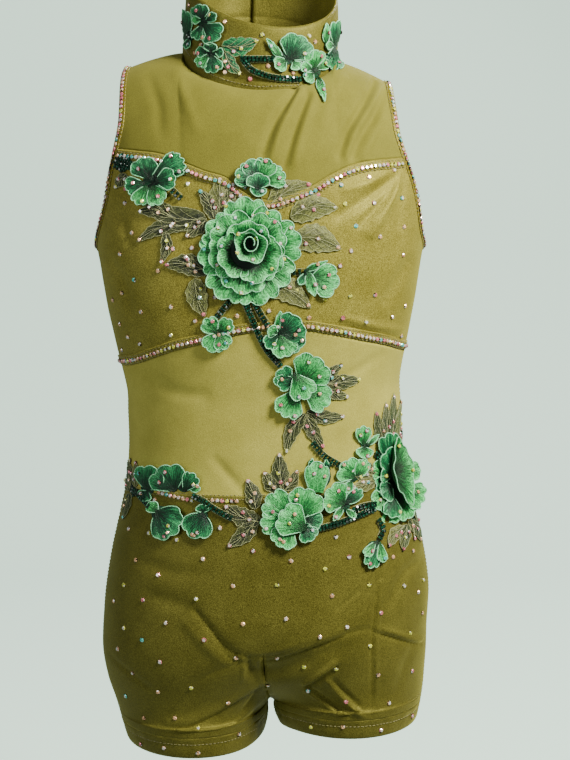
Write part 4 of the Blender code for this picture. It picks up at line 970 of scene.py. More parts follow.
def collar_point(turn, top, inset):
    """A point of the collar band: turn is 0 at the front and runs to +X."""
    shrink = COLLAR_TAPER * top + inset
    x = (NECK_HALF_WIDTH + COLLAR_BASE - shrink) * math.sin(turn)
    y = -(NECK_HALF_DEPTH + COLLAR_BASE - shrink) * math.cos(turn)
    low = NECK_SIDE_Z - NECK_TILT * NECK_HALF_DEPTH * math.cos(turn)
    wide, deep = NECK_HALF_WIDTH + COLLAR_BASE, NECK_HALF_DEPTH + COLLAR_BASE
    low = max(low, yoke_height(wide * math.sin(turn), -deep * math.cos(turn)))
    high = COLLAR_TOP_Z + COLLAR_TOP_TILT * y + COLLAR_TOP_ROLL * x
    belly = COLLAR_LIFT * math.sin(math.pi * top)
    tall = low + (high - low) * top
    wave = 0.0003 * math.sin(7 * turn + 3 * top) * math.sin(math.pi * top)
    return np.array((x + (belly + wave) * math.sin(turn), y - (belly + wave) * math.cos(turn), tall))


# SHARE of the collar's height, and how far it dips in there in millimetres
COLLAR_SHARES = (
    (-0.02, 0.0), (0.00, 0.0), (0.06, -0.25), (0.115, -0.05), (0.13, 0.25), (0.145, -0.05), (0.22, -0.2),
    (0.36, 0.0), (0.5, 0.0), (0.64, 0.0), (0.78, 0.0), (0.88, -0.05), (0.95, 0.0), (0.985, 0.3), (1.0, 0.9),
)
COLLAR_STATIONS = 150
COLLAR_MIDDLE = 8
LAP_GAP = 0.0003


def collar():
    """The stand collar, lapped at the back, with its stitched line above the neck seam."""
    sections = []
    for k in range(COLLAR_STATIONS + 1):
        degrees = -180 - BACK_LAP + (360 + 2 * BACK_LAP) * k / COLLAR_STATIONS
        out = -(BAND_CLOTH + LAP_GAP) * eased(min(max((-120 - degrees) / 45, 0.0), 1.0))
        turn = math.radians(degrees)
        outer = [collar_point(turn, t, out + dip * 0.001) for t, dip in COLLAR_SHARES]
        inner = [collar_point(turn, t, out + BAND_CLOTH - dip * 0.001) for t, dip in COLLAR_SHARES[::-1]]
        sections.append(posed(np.array(outer + inner)))
    # The collar takes the darker satin: painted shade.
    obj = tube_piece("collar_band", sections, SHADED_SATIN, False, ("collar",))
    shown = np.array(sections)[:, : len(COLLAR_SHARES)]
    tall = max(run_length(row) for row in shown)
    state_cut(run_length(shown[:, COLLAR_MIDDLE]), tall, grid_area(shown))
    keep_skin(shown, True)


HEM_ROUND = 180
HEM_WALL = 0.0018


def hem_ring(sign, z, rise):
    """Points round one leg at a height, moved out by rise."""
    turn = np.linspace(0, 2, HEM_ROUND, endpoint=False)
    front = turn <= 1
    s = np.where(front, turn, 2 - turn)
    a, b = leg_point(-1, s, z), leg_point(1, s, z)
    ring = np.where(front[:, None], a, b)
    tangent = np.roll(ring, -1, 0) - np.roll(ring, 1, 0)
    out = unit(np.stack((tangent[:, 1], -tangent[:, 0], 0 * s), -1))
    ring = ring + out * np.reshape(rise, (-1, 1))
    ring[:, 0] *= sign
    return ring


# SHARE of the way down the hem band and how far it stands out there in millimetres, outside and inside
HEM_SECTION = (
    (0.00, -0.05), (0.03, 0.12), (0.10, 0.22), (0.22, 0.15), (0.31, -0.15), (0.36, -0.15), (0.48, 0.2),
    (0.70, 0.3), (0.88, 0.25), (0.97, -0.05), (1.00, -0.7),
)
HEM_INSIDE = ((1.0, -1.3), (0.9, -1.75), (0.5, -1.8), (0.0, -1.8))
HEM_STITCH_ROW, HEM_MIDDLE_ROW = 4, 5


def hems():
    """The turned, stitched hem band of each leg, a little puckered along its stitches."""
    height = HEM_TOP_Z - HEM_Z
    for sign, name in ((-1, "hem_left"), (1, "hem_right")):
        rows = []
        turn = np.linspace(0, 2, HEM_ROUND, endpoint=False)
        pucker = 0.00035 * np.sin(turn * 61) * np.sin(turn * 23 + 1.0 + sign)
        inside = np.exp(-((np.minimum(turn, 2 - turn) / 0.16) ** 2))
        pucker = pucker * (1 + 1.5 * inside) + 0.0006 * inside * np.sin(turn * 47 + sign)
        for share, rise in HEM_SECTION:
            ripple_here = pucker * math.sin(math.pi * min(share + 0.15, 1.0))
            rows.append(posed(hem_ring(sign, HEM_TOP_Z - height * share, rise * 0.001 + ripple_here)))
        for share, rise in HEM_INSIDE:
            rows.append(posed(hem_ring(sign, HEM_TOP_Z - height * share, rise * 0.001)))
        sections = np.array(rows).transpose(1, 0, 2)
        # The hem bands take the darker satin: painted shade.
        obj = tube_piece(name + "_band", sections, SHADED_SATIN, True, (name,))
        shown = np.array(rows[: len(HEM_SECTION)])
        long = run_length(closed_line(shown[HEM_MIDDLE_ROW]))
        state_cut(long, height + 2 * HEM_WALL, long * height)
        keep_skin(shown[::-1], sign < 0, True)
        BANDS[name] = shown


body_panels()
bindings()
collar()
hems()
SKIN = BVHTree.FromPolygons(np.concatenate(SKIN_POINTS).tolist(), np.concatenate(SKIN_FACES).tolist())
# Distances from the viewer's eye at which cloth is looked for beside a reading that misses it
SKIN_REACH, SKIN_STEPS = (1.12, 1.248), 17


def seen(px, py):
    """The point of the cloth at a reading of the front, or the nearest one to it."""
    way = Vector(sight(px, py))
    eye = Vector(EYE)
    hit = SKIN.ray_cast(eye, way)
    if hit[0] is not None and hit[0].y < 0.0:
        return hit[0]
    reaches = np.linspace(*SKIN_REACH, SKIN_STEPS)
    return min((SKIN.find_nearest(eye + way * float(reach)) for reach in reaches), key=lambda n: n[3])[0]


def soft_normal(point, reach=0.006):
    """The cloth's normal, evened over a few millimetres."""
    total = Vector((0.0, 0.0, 0.0))
    for dx in (-reach, 0.0, reach):
        for dz in (-reach, 0.0, reach):
            total += SKIN.find_nearest(point + Vector((dx, 0.0, dz)))[1]
    return total.normalized()


def circle(side, up, turn):
    """Points of a unit circle in the plane of side and up, at these angles."""
    return side * np.cos(turn)[:, None] + up * np.sin(turn)[:, None]


class Bundle:
    """Faces of several small parts that become one mesh, each face with a finish and a lay."""

    def __init__(self):
        self.points, self.faces, self.shades, self.lay, self.count = [], [], [], [], 0

    def add(self, points, faces, shade, lay=None):
        points = np.asarray(points, float).reshape(-1, 3)
        lay = np.zeros((len(points), 2)) if lay is None else np.asarray(lay, float).reshape(-1, 2)
        self.points.append(points)
        self.faces.extend(tuple(int(k) + self.count for k in face) for face in faces)
        self.shades.extend([shade] * len(faces) if isinstance(shade, int) else shade)
        self.lay.append(lay)
        self.count += len(points)

    def tube(self, path, radius, shade, around=6, closed=False):
        """A round cord along a path, with pinched ends."""
        path = np.asarray(path, float)
        count = len(path)
        if closed:
            along = unit(np.roll(path, -1, 0) - np.roll(path, 1, 0))
        else:
            along = unit(np.gradient(path, axis=0))
        side = unit(np.cross(along, np.array((0.13, -0.97, 0.21))))
        up = np.cross(side, along)
        turn = np.linspace(0, 2 * np.pi, around, endpoint=False)
        size = np.full(count, radius)
        if not closed:
            size[0] = size[-1] = radius * 0.35
        rings = path[:, None] + size[:, None, None] * (
            side[:, None] * np.cos(turn)[None, :, None] + up[:, None] * np.sin(turn)[None, :, None]
        )
        rows = closed_line(rings) if closed else rings
        self.add(rows, grid_faces(len(rows), around, closed=True), shade)

    def sheet(self, top, under, shade, lay):
        """A thin sheet with two faces, open at its rim, which a cord covers."""
        faces = grid_faces(*top.shape[:2])
        self.add(top, faces, shade, lay)
        self.add(under, faces[:, ::-1], shade, lay)

    def piece(self, name, materials, replaces=(), smooth=True):
        points, lay = np.concatenate(self.points), np.concatenate(self.lay)
        obj = new_piece(name, points, self.faces, materials, smooth, replaces, self.shades)
        uv = obj.data.uv_layers.new(name="lay")
        corners = np.empty(len(obj.data.loops), dtype=np.int32)
        obj.data.loops.foreach_get("vertex_index", corners)
        uv.data.foreach_set("uv", lay[corners].astype(np.float32).ravel())


def petal_lay():
    """Satin stitch of a petal: threads that run along its lay, with their tone, speck and height."""
    group, given = new_group(
        "Petal lay",
        {"Lay": None, "Vector": None, "Streak": 2.3},
        {"Tone": "Float", "Speck": "Color", "Height": "Float"},
    )
    lay = add(group, "ShaderNodeSeparateXYZ", Vector=given["Lay"]).outputs
    stretched = add(
        group, "ShaderNodeCombineXYZ",
        X=maths(group, "MULTIPLY", lay["X"], 1.75), Y=maths(group, "MULTIPLY", lay["Y"], 2.6),
    )
    threads = add(
        group, "ShaderNodeTexNoise", Vector=stretched.outputs[0], Scale=1.0, Detail=2.5, Roughness=0.65
    ).outputs["Fac"]
    tone = maths(group, "MULTIPLY_ADD", maths(group, "SUBTRACT", threads, 0.5), given["Streak"], lay["Y"])
    fine = add(group, "ShaderNodeTexNoise", Vector=given["Vector"], Scale=900.0, Detail=1.0)
    speck = ramp(group, fine.outputs["Fac"], ((0.38, (0.28, 0.28, 0.28)), (0.60, (1.0, 1.0, 1.0))))
    return give(group, Tone=tone, Speck=speck, Height=threads)


def crystal_drift():
    """The slow drift of tone over cut stones and beads."""
    group, given = new_group("Crystal drift", {"Vector": None}, {"Drift": "Float"})
    drift = add(group, "ShaderNodeTexNoise", Vector=given["Vector"], Scale=260.0, Detail=1.0)
    return give(group, Drift=drift.outputs["Fac"])


PETAL_LAY = petal_lay()
DRIFT = crystal_drift()


def petal_material(name, dark, middle, light, rim):
    """Satin stitch that fans out of a dark heart to a light edge. The lay holds the threads."""
    material, tree, shader = new_material(name, 0.45, Sheen_Weight=0.12, Specular_IOR_Level=0.35)
    shader.inputs["Sheen Tint"].default_value = (0.4, 1.0, 0.5, 1.0)
    lay = placed_group(tree, PETAL_LAY)
    coords = add(tree, "ShaderNodeUVMap", uv_map="lay")
    tree.links.new(coords.outputs["UV"], lay.inputs["Lay"])
    base = ramp(tree, lay.outputs["Tone"], ((0.15, dark), (0.45, middle), (0.75, light), (1.0, rim)))
    base = mixed(tree, 0.8, base, lay.outputs["Speck"], "MULTIPLY")
    tree.links.new(base, shader.inputs["Base Color"])
    bumped(tree, shader, lay.outputs["Height"], 0.9, 0.0007)
    return material


def glossy(name, colour, rough=0.1, **fields):
    """A cut stone or bead, its colour drifting a little over the surface."""
    material, tree, shader = new_material(name, rough, **fields)
    drift = placed_group(tree, DRIFT)
    low = tuple(0.72 * c for c in colour)
    high = tuple(min(1.2 * c, 1.0) for c in colour)
    base = ramp(tree, drift.outputs["Drift"], ((0.35, low), (0.65, high)))
    tree.links.new(base, shader.inputs["Base Color"])
    return material


PETAL = petal_material(
    "green petal thread",
    (0.001, 0.016, 0.004), (0.009, 0.170, 0.034), (0.058, 0.560, 0.118), (0.20, 0.88, 0.30),
)
# The deep green thread of the darker petals, also used for painted shade in the gaps under the roses'
# petals.
PETAL_DEEP_AND_SHADE = petal_material(
    "deep green petal thread and painted shade",
    (0.001, 0.010, 0.005), (0.002, 0.062, 0.024), (0.014, 0.260, 0.080), (0.09, 0.58, 0.20),
)
LACE = petal_material(
    "olive lace",
    (0.004, 0.006, 0.002), (0.017, 0.021, 0.006), (0.066, 0.078, 0.022), (0.17, 0.19, 0.06),
)
# A lighter copy of the lace, partly painted light: it goes mostly to the leaves on the right, which the
# light faces.
LIGHTER_AND_LIT_LACE = petal_material(
    "light olive lace, partly painted light",
    (0.028, 0.030, 0.006), (0.098, 0.108, 0.024), (0.215, 0.232, 0.062), (0.36, 0.38, 0.13),
)
CORD = thread_material(
    "mint edge cord", (0.09, 0.44, 0.18), (0.21, 0.68, 0.33), (0.36, 0.88, 0.50), 0.4, 1800.0
)
VEIN = thread_material(
    "light vein thread", (0.14, 0.15, 0.05), (0.26, 0.28, 0.11), (0.42, 0.44, 0.20), 0.5, 1800.0
)
BEAD = glossy("black green bead", (0.003, 0.022, 0.011), 0.09, Coat_Weight=0.6)
BEAD_GLINT = glossy("green bead glint", (0.008, 0.075, 0.042), 0.12, Coat_Weight=0.6)
CRYSTALS = (
    ("pink", (0.92, 0.25, 0.30)), ("peach", (0.98, 0.52, 0.28)),
    ("yellow", (0.82, 0.90, 0.12)), ("aqua", (0.12, 0.66, 0.60)),
)
STONES = [
    *(glossy(f"{tint} crystal", colour, 0.12, Metallic=0.35, Coat_Weight=0.4) for tint, colour in CRYSTALS),
    # A near-white facet colour: painted highlight.
    glossy("crystal painted highlight", (0.96, 0.90, 0.86), 0.06, Metallic=0.35, Coat_Weight=1.0),
    # A near-black facet colour: the stones' dark foil, and painted shade and shadow.
    glossy("crystal foil and painted shade", (0.06, 0.035, 0.025), 0.08, Metallic=0.6, Coat_Weight=0.5),
]
# Places of the painted highlight and of the foil and painted shade among the stone finishes.
HIGHLIGHT_FACET, FOIL_AND_SHADE_FACET = 4, 5

# The finishes of petals, leaves and beads, and their places in these lists
PETAL_FINISHES = (PETAL, CORD, PETAL_DEEP_AND_SHADE)
LEAF_FINISHES = (LACE, LIGHTER_AND_LIT_LACE, VEIN, PETAL_DEEP_AND_SHADE)
BEAD_FINISHES = (BEAD, BEAD_GLINT, VEIN)
BRIGHT, EDGE, DEEP = 0, 1, 2
VEIN_THREAD = 2

RANDOM = np.random.default_rng(7)
GEMS = Bundle()
GEM_RADIUS = 0.0018
PETAL_GEM = 0.0016
PETAL_GEM_LIFT = 0.0002
FACETS = 8
GEM_SUNK = 0.0003
# Shares of a stone's radius
GIRDLE_HEIGHT, TABLE_HEIGHT, TABLE_SIZE = 0.22, 0.66, 0.60
# Shares of pink, peach, yellow and aqua
ROW_TINTS = (0.34, 0.34, 0.20, 0.12)
CLOTH_TINTS = (0.16, 0.56, 0.20, 0.08)
ROSE_TINTS = (0.30, 0.14, 0.44, 0.12)


def gem(point, normal, radius=GEM_RADIUS, tints=ROW_TINTS):
    """A flat-backed cut stone on the cloth, its facets in its tint, in a painted highlight and in painted
    shade.
    """
    normal = unit(np.asarray(normal, float))
    side = unit(np.cross(normal, (0.2, 0.1, 0.97)))
    up = np.cross(normal, side)
    spin = RANDOM.uniform(0, 1)
    turn = (np.arange(FACETS) + spin) * 2 * np.pi / FACETS
    ring = circle(side, up, turn)
    inner = circle(side, up, (np.arange(FACETS) + spin + 0.5) * 2 * np.pi / FACETS)
    point = np.asarray(point, float)
    rows = [
        point + ring * radius - normal * GEM_SUNK,
        point + ring * radius + normal * radius * GIRDLE_HEIGHT,
        point + inner * radius * TABLE_SIZE + normal * radius * TABLE_HEIGHT,
    ]
    faces = [tuple(f) for f in grid_faces(2, FACETS, closed=True)]
    for k in range(FACETS):
        n = (k + 1) % FACETS
        faces.append((FACETS + k, FACETS + n, 2 * FACETS + k))
        faces.append((FACETS + n, 2 * FACETS + n, 2 * FACETS + k))
    faces.append(tuple(2 * FACETS + k for k in range(FACETS)))
    tint = int(RANDOM.choice(4, p=tints))
    # The girdle is dark, partly the foil and partly painted shadow; the crown facets take the tint, a
    # painted highlight or painted shade, and the table the tint or a painted highlight.
    shades = [FOIL_AND_SHADE_FACET] * FACETS
    for _ in range(2 * FACETS):
        shades.append(int(RANDOM.choice((tint, HIGHLIGHT_FACET, FOIL_AND_SHADE_FACET), p=(0.52, 0.22, 0.26))))
    shades.append(int(RANDOM.choice((tint, HIGHLIGHT_FACET), p=(0.55, 0.45))))
    GEMS.add(np.concatenate(rows), faces, shades)


def reading_place(cx, cy):
    """A placing function round a reading: x and y in its pixels, h in millimetres off the cloth."""
    normal = np.array(soft_normal(seen(cx, cy), 0.008))

    def place(x, y, h):
        flat_x, flat_y = np.ravel(x), np.ravel(y)
        base = np.array([tuple(seen(cx + a, cy - b)) for a, b in zip(flat_x, flat_y)])
        return base.reshape(*np.shape(x), 3) + normal * (np.asarray(h)[..., None] * 0.001)

    return place


def framed_place(centre, across, upright, normal, unit_size):
    """A placing function in the plane of a rose, which stands on the cloth."""

    def place(x, y, h):
        target = centre + across * (x * unit_size)[..., None] + upright * (y * unit_size)[..., None]
        flat = [SKIN.find_nearest(Vector(p))[0] for p in target.reshape(-1, 3)]
        base = np.array([tuple(p) for p in flat]).reshape(target.shape)
        sag = np.sum((base - target) * normal, -1, keepdims=True)
        return target + normal * (0.55 * sag + np.asarray(h)[..., None] * 0.001)

    return place


PETAL_WALL = 0.45
CORD_RADIUS = 0.00040


def petal(bundle, place, angle, spread, near, reach, low, high, shade=0, lobes=3, notch=0.10, ruffle=0.5,
          dome=0.6, tones=(0.05, 0.95), point=0.0, cols=22, rows=9, gems=1):
    """One embroidered petal: a fan from near to reach, low to high millimetres off the cloth."""
    u = np.linspace(-1, 1, cols)[None, :]
    v = np.linspace(0, 1, rows)[:, None]
    seed = angle * 0.37 + reach
    theta = np.radians(angle) + np.radians(spread) * u * (1 - point * v ** 2)
    scallop = np.abs(np.cos(np.pi * lobes * (u + 1) / 2 + np.pi / 2 * (lobes % 2))) ** 0.6
    outer = reach * (1 - 0.26 * np.abs(u) ** 4) * (1 - notch * (1 - scallop) * (1 - np.abs(u) ** 6))
    outer = outer * (1 + point * 0.35 * (1 - np.abs(u)) ** 1.5 - point * 0.2)
    r = near + (outer - near) * v
    h = low + (high - low) * v ** 1.3 + dome * np.sin(np.pi * v) * (1 - u * u)
    h = h + ruffle * v ** 2 * np.sin(lobes * np.pi * u + seed) - 0.35 * (high - low) * np.abs(u) ** 4 * v
    x, y = r * np.cos(theta), r * np.sin(theta)
    top = place(x, y, h)
    under = place(x, y, h - PETAL_WALL)
    wide = np.radians(spread) * (0.4 * near + 0.6 * reach)
    lay = np.stack((u * wide + 31 * seed + 0 * v, tones[0] + (tones[1] - tones[0]) * v + 0 * u), -1)
    bundle.sheet(top, under, shade, lay)
    start = rows // 4
    rim = np.concatenate((top[start:-1, 0], top[-1], top[start:-1, -1][::-1]))
    bundle.tube(rim, CORD_RADIUS, EDGE, 5)
    for k in range(gems):
        i = int(RANDOM.integers(cols // 5, cols - cols // 5))
        j = int(RANDOM.integers(rows * 3 // 5, rows - 1))
        du, dv = top[j, i + 1] - top[j, i - 1], top[j + 1, i] - top[j - 1, i]
        normal = np.cross(du, dv)
        normal = normal if normal @ (top[j, i] - under[j, i]) > 0 else -normal
        gem(top[j, i] + unit(normal) * PETAL_GEM_LIFT, normal, PETAL_GEM)


LEAF_CORD = 0.00023
LEAF_VEIN = 0.00015
LEAF_ROWS, LEAF_COLS = 15, 9
LEAF_LIFT, LEAF_RIDGE = 1.0, 0.35
LEAF_WALL = 0.0004
LEAF_JAG = 0.10
LEAF_VEINS = 3
LEAF_GEM_ROWS = (13, 7, 4)


def leaf(bundle, base, tip, width, bend, shade):
    """One lace leaf between two readings, with a corded outline, a midrib and side veins."""
    base, tip = np.array(base, float), np.array(tip, float)
    way = tip - base
    beside_it = np.array((-way[1], way[0]))
    s = np.linspace(0, 1, LEAF_ROWS)[:, None]
    u = np.linspace(-1, 1, LEAF_COLS)[None, :]
    length = np.hypot(*way)
    normal = np.array(soft_normal(seen(*(base * 0.4 + tip * 0.6)), 0.006))

    def spot(s, u, h):
        middle = base + way * s[..., None] + beside_it * (bend * np.sin(np.pi * s))[..., None]
        wide = 0.5 * width * np.sin(np.pi * np.clip(s, 0, 1) ** 0.75) ** 0.8
        wide = wide * (1 + LEAF_JAG * np.sin(s * np.pi * 2 * max(length / 9.0, 2.0)) * np.abs(u) ** 3)
        flat = middle + beside_it / length * (u * wide)[..., None]
        out = [seen(*p) for p in flat.reshape(-1, 2)]
        at = np.array([tuple(p) for p in out]).reshape(*flat.shape[:-1], 3)
        return at + normal * (h * 0.001)

    ss, uu = np.broadcast_arrays(s, u)
    ridge = LEAF_LIFT + LEAF_RIDGE * (1 - np.abs(uu)) * np.sin(np.pi * ss)
    top = spot(ss, uu, 0.0) + normal * (ridge * 0.001)[..., None]
    tone = 0.30 + 0.45 * np.abs(uu) + 0.15 * ss
    grain = np.stack((uu * width * 0.45 + 0.6 * ss * length * np.sign(uu), tone), -1)
    bundle.sheet(top, top - normal * LEAF_WALL, shade, grain)
    rim = np.concatenate((top[:, 0], top[::-1, -1][1:]))
    bundle.tube(rim, LEAF_CORD, VEIN_THREAD, 5)
    bundle.tube(top[:, LEAF_COLS // 2] + normal * LEAF_VEIN, LEAF_CORD, VEIN_THREAD, 5)
    t = np.linspace(0, 1, 7)
    for k in range(LEAF_VEINS):
        share = (k + 0.5) / LEAF_VEINS
        for sign in (-1, 1):
            down = share * 0.55 + (0.35 + 0.15 * share) * t
            line = spot(down, sign * 0.90 * t ** 1.4, LEAF_LIFT + LEAF_RIDGE)
            bundle.tube(line, LEAF_VEIN, VEIN_THREAD, 4)
    for k, j in enumerate(LEAF_GEM_ROWS):
        i = LEAF_COLS // 2 if k == 0 else int(RANDOM.integers(2, 7))
        gem(top[j, i], normal, PETAL_GEM)


# NODE or name, then its petals: CX, CY, ANGLE, SPREAD, NEAR, REACH in pixels; LOW, HIGH in millimetres;
# SHADE 0 green, 3 deep green or 4 light green; LOBES; POINT; GEMS
BLOOMS = (
    ("flower_chest", (
        (150, 180, 108, 48, 3, 22, 1.4, 4.2, 3, 4, 0, 1), (152, 178, 28, 26, 8, 38, 1.4, 3.4, 3, 5, 0.1, 2),
        (147, 183, 196, 34, 3, 20, 1.6, 3.6, 3, 3, 0, 1),
        (149, 184, 246, 30, 3, 23, 1.8, 4.2, 0, 3, 0.1, 1),
        (152, 185, 300, 42, 4, 23, 2.6, 5.0, 0, 3, 0.2, 1),
        (156, 182, 8, 40, 3, 23, 3.2, 5.6, 3, 4, 0.1, 1),
    )),
    ("bud_top", (
        (259, 182, 158, 34, 4, 25, 1.6, 4.4, 3, 3, 0, 1), (258, 182, 112, 32, 4, 23, 1.6, 4.6, 3, 2, 0, 1),
        (259, 182, 66, 34, 4, 24, 1.4, 4.8, 0, 3, 0, 1), (260, 182, 14, 30, 5, 26, 1.6, 4.0, 0, 3, 0, 1),
        (259, 186, 262, 62, 1, 11, 2.4, 3.0, 3, 2, 0, 1), (258, 190, 90, 60, 1, 16, 3.2, 5.2, 3, 3, 0, 0),
    )),
    ("bud_right", (
        (304, 271, 24, 24, 0, 23, 1.2, 3.0, 0, 2, 0.7, 1),
        (309, 278, 352, 50, 0, 29, 1.6, 4.4, 0, 3, 0.1, 2),
        (307, 270, 285, 30, 0, 25, 1.8, 3.6, 0, 2, 0.5, 1),
        (306, 272, 240, 26, 0, 14, 1.4, 2.8, 3, 2, 0.2, 0),
    )),
    ("bud_low", (
        (218, 333, 132, 46, 0, 19, 1.2, 3.0, 0, 3, 0.2, 1),
        (218, 333, 44, 46, 0, 19, 1.2, 3.2, 0, 3, 0.3, 1),
        (218, 332, 250, 50, 0, 20, 1.6, 3.8, 0, 3, 0.1, 1),
        (218, 332, 300, 44, 0, 18, 1.8, 4.0, 0, 3, 0.1, 1),
    )),
    ("bud_band", (
        (278, 333, 84, 34, 0, 21, 1.2, 3.0, 0, 2, 0.6, 1), (279, 334, 12, 64, 0, 27, 1.6, 4.8, 3, 5, 0, 3),
        (279, 334, 296, 44, 0, 23, 1.8, 4.4, 0, 4, 0, 1),
        (278, 334, 226, 46, 0, 17, 1.6, 3.6, 3, 3, 0.2, 1),
        (278, 333, 158, 46, 0, 11, 1.4, 3.0, 0, 2, 0, 0),
    )),
    ("flower_midriff", (
        (299, 384, 52, 46, 3, 34, 1.4, 5.2, 0, 4, 0, 2), (302, 388, 332, 34, 3, 30, 1.4, 4.6, 0, 3, 0, 1),
        (297, 388, 243, 34, 3, 31, 1.4, 4.2, 0, 4, 0, 2), (292, 383, 140, 42, 2, 20, 1.8, 3.4, 3, 3, 0, 1),
        (296, 378, 196, 30, 2, 20, 2.0, 3.2, 3, 3, 0, 0), (293, 371, 298, 34, 2, 29, 3.6, 6.0, 0, 3, 0, 2),
    )),
    ("flower_waist", (
        (297, 520, 66, 40, 3, 34, 1.6, 5.2, 0, 4, 0, 2), (292, 518, 138, 32, 3, 34, 1.6, 5.0, 0, 3, 0, 1),
        (292, 522, 180, 26, 3, 32, 1.8, 4.2, 0, 3, 0, 1), (292, 524, 236, 40, 3, 26, 1.8, 4.6, 0, 4, 0, 2),
        (302, 525, 304, 42, 2, 18, 2.0, 3.4, 3, 3, 0, 1), (304, 520, 8, 44, 2, 18, 2.0, 3.4, 3, 2, 0, 0),
        (307, 530, 148, 38, 2, 34, 4.0, 6.6, 0, 4, 0, 2),
    )),
    ("flower_waist_side", (
        (345, 504, 148, 52, 2, 25, 1.6, 4.4, 0, 4, 0, 2), (344, 504, 42, 36, 2, 21, 1.6, 3.6, 3, 3, 0.4, 1),
        (343, 506, 232, 28, 1, 17, 1.6, 3.2, 0, 2, 0.5, 1),
        (345, 509, 320, 32, 1, 12, 1.6, 2.8, 0, 2, 0.4, 0),
    )),
    ("bud_waist", (
        (309, 474, 80, 26, 1, 15, 1.2, 2.2, 3, 2, 0.5, 0),
        (326, 474, 92, 28, 1, 14, 1.2, 2.2, 3, 2, 0.5, 0), (316, 513, 90, 16, 42, 52, 1.8, 4.2, 4, 2, 0, 3),
    )),
    ("bud_small", (
        (363, 446, 96, 36, 1, 20, 1.2, 2.8, 0, 3, 0.2, 2),
        (366, 446, 48, 24, 1, 15, 1.4, 2.6, 0, 2, 0.5, 0), (363, 446, 268, 58, 1, 12, 1.6, 2.8, 0, 2, 0, 1),
    )),
    ("petal_waist", (
        (356, 478, 138, 48, 3, 22, 1.0, 2.8, 0, 3, 0, 1), (356, 480, 70, 34, 3, 22, 1.0, 2.6, 0, 3, 0.3, 1),
        (352, 480, 236, 34, 2, 14, 1.0, 2.2, 0, 2, 0.2, 1),
    )),
    ("bud_drop", (
        (377, 539, 252, 24, 1, 30, 1.4, 3.2, 3, 3, 0.2, 1),
        (378, 540, 276, 18, 1, 22, 2.2, 4.0, 0, 2, 0.1, 1),
        (375, 540, 232, 19, 1, 20, 2.2, 3.8, 0, 3, 0.1, 1),
    )),
    ("petal_left_a", (
        (147, 491, 72, 52, 1, 26, 1.0, 3.0, 3, 3, 0.1, 1),
        (149, 491, 236, 60, 1, 11, 1.0, 2.0, 3, 2, 0.1, 1),
    )),
    ("petal_left_b", (
        (176, 492, 116, 50, 1, 29, 1.0, 3.4, 3, 3, 0, 2), (184, 492, 58, 32, 1, 22, 1.2, 3.0, 3, 3, 0.1, 1),
        (190, 487, 350, 50, 1, 11, 1.2, 2.2, 0, 2, 0.4, 1),
    )),
    ("petal_left_c", (
        (158, 512, 130, 52, 1, 12, 1.0, 2.2, 0, 2, 0.2, 0),
        (156, 511, 318, 58, 2, 32, 1.2, 3.6, 3, 4, 0.2, 3),
    )),
    ("petal_left_d", (
        (203, 513, 90, 60, 1, 9, 1.0, 2.0, 3, 2, 0, 0), (204, 513, 246, 60, 2, 26, 1.2, 3.6, 3, 3, 0.2, 3),
    )),
    ("bud_collar_left", (
        (204, 20, 104, 46, 1, 15, 1.2, 2.8, 3, 3, 0, 1), (206, 22, 28, 30, 1, 14, 1.2, 3.0, 3, 2, 0.2, 1),
        (204, 24, 318, 38, 1, 24, 1.6, 3.4, 3, 3, 0, 1), (203, 24, 258, 30, 1, 17, 1.4, 3.0, 3, 3, 0, 1),
        (203, 20, 186, 34, 1, 9, 1.4, 2.4, 0, 2, 0, 0),
    )),
    ("flower_collar_left", (
        (212, 53, 84, 54, 1, 10, 2.0, 3.2, 3, 3, 0, 0), (210, 53, 176, 34, 1, 12, 1.4, 2.6, 3, 2, 0, 1),
        (210, 54, 232, 34, 1, 16, 1.4, 3.0, 0, 3, 0.1, 1), (212, 54, 286, 34, 1, 20, 1.6, 3.4, 3, 3, 0, 1),
        (215, 52, 350, 34, 1, 10, 1.4, 2.4, 3, 2, 0, 0),
    )),
    ("flower_collar_right", (
        (314, 69, 98, 44, 1, 18, 1.4, 3.4, 0, 3, 0, 1), (312, 70, 166, 34, 1, 14, 1.4, 3.0, 0, 3, 0.2, 1),
        (316, 70, 28, 38, 1, 13, 1.4, 3.0, 0, 2, 0.2, 1), (313, 73, 226, 36, 1, 13, 1.4, 2.8, 0, 3, 0, 1),
        (317, 76, 284, 28, 1, 25, 1.2, 2.0, 0, 2, 0.7, 1),
    )),
    ("petal_collar", (
        (283, 61, 128, 22, 2, 26, 1.2, 2.6, 0, 2, 0.6, 1), (288, 60, 58, 52, 2, 27, 1.4, 3.6, 3, 4, 0, 1),
        (286, 60, 212, 48, 1, 14, 1.6, 2.8, 0, 3, 0.1, 1), (292, 61, 302, 44, 1, 10, 1.6, 2.6, 0, 2, 0, 0),
    )),
    ("bud_collar_right", (
        (325, 45, 92, 28, 1, 20, 1.0, 2.4, 0, 2, 0.6, 1), (334, 46, 84, 32, 1, 25, 1.0, 2.6, 3, 3, 0.2, 1),
        (334, 47, 262, 38, 1, 23, 1.0, 2.6, 3, 3, 0.2, 1),
        (333, 46, 180, 40, 1, 10, 1.2, 2.6, 0, 2, 0.2, 0),
    )),
    ("bud_collar_side", (
        (189, 38, 98, 30, 1, 27, 1.0, 2.6, 3, 3, 0.3, 1), (190, 38, 262, 34, 1, 11, 1.0, 2.2, 3, 2, 0.3, 1),
    )),
)

# The tones from heart to edge of petals of each SHADE
BLOOM_TONES = {0: (0.04, 0.95), 3: (0.0, 0.84), 4: (0.62, 0.90)}
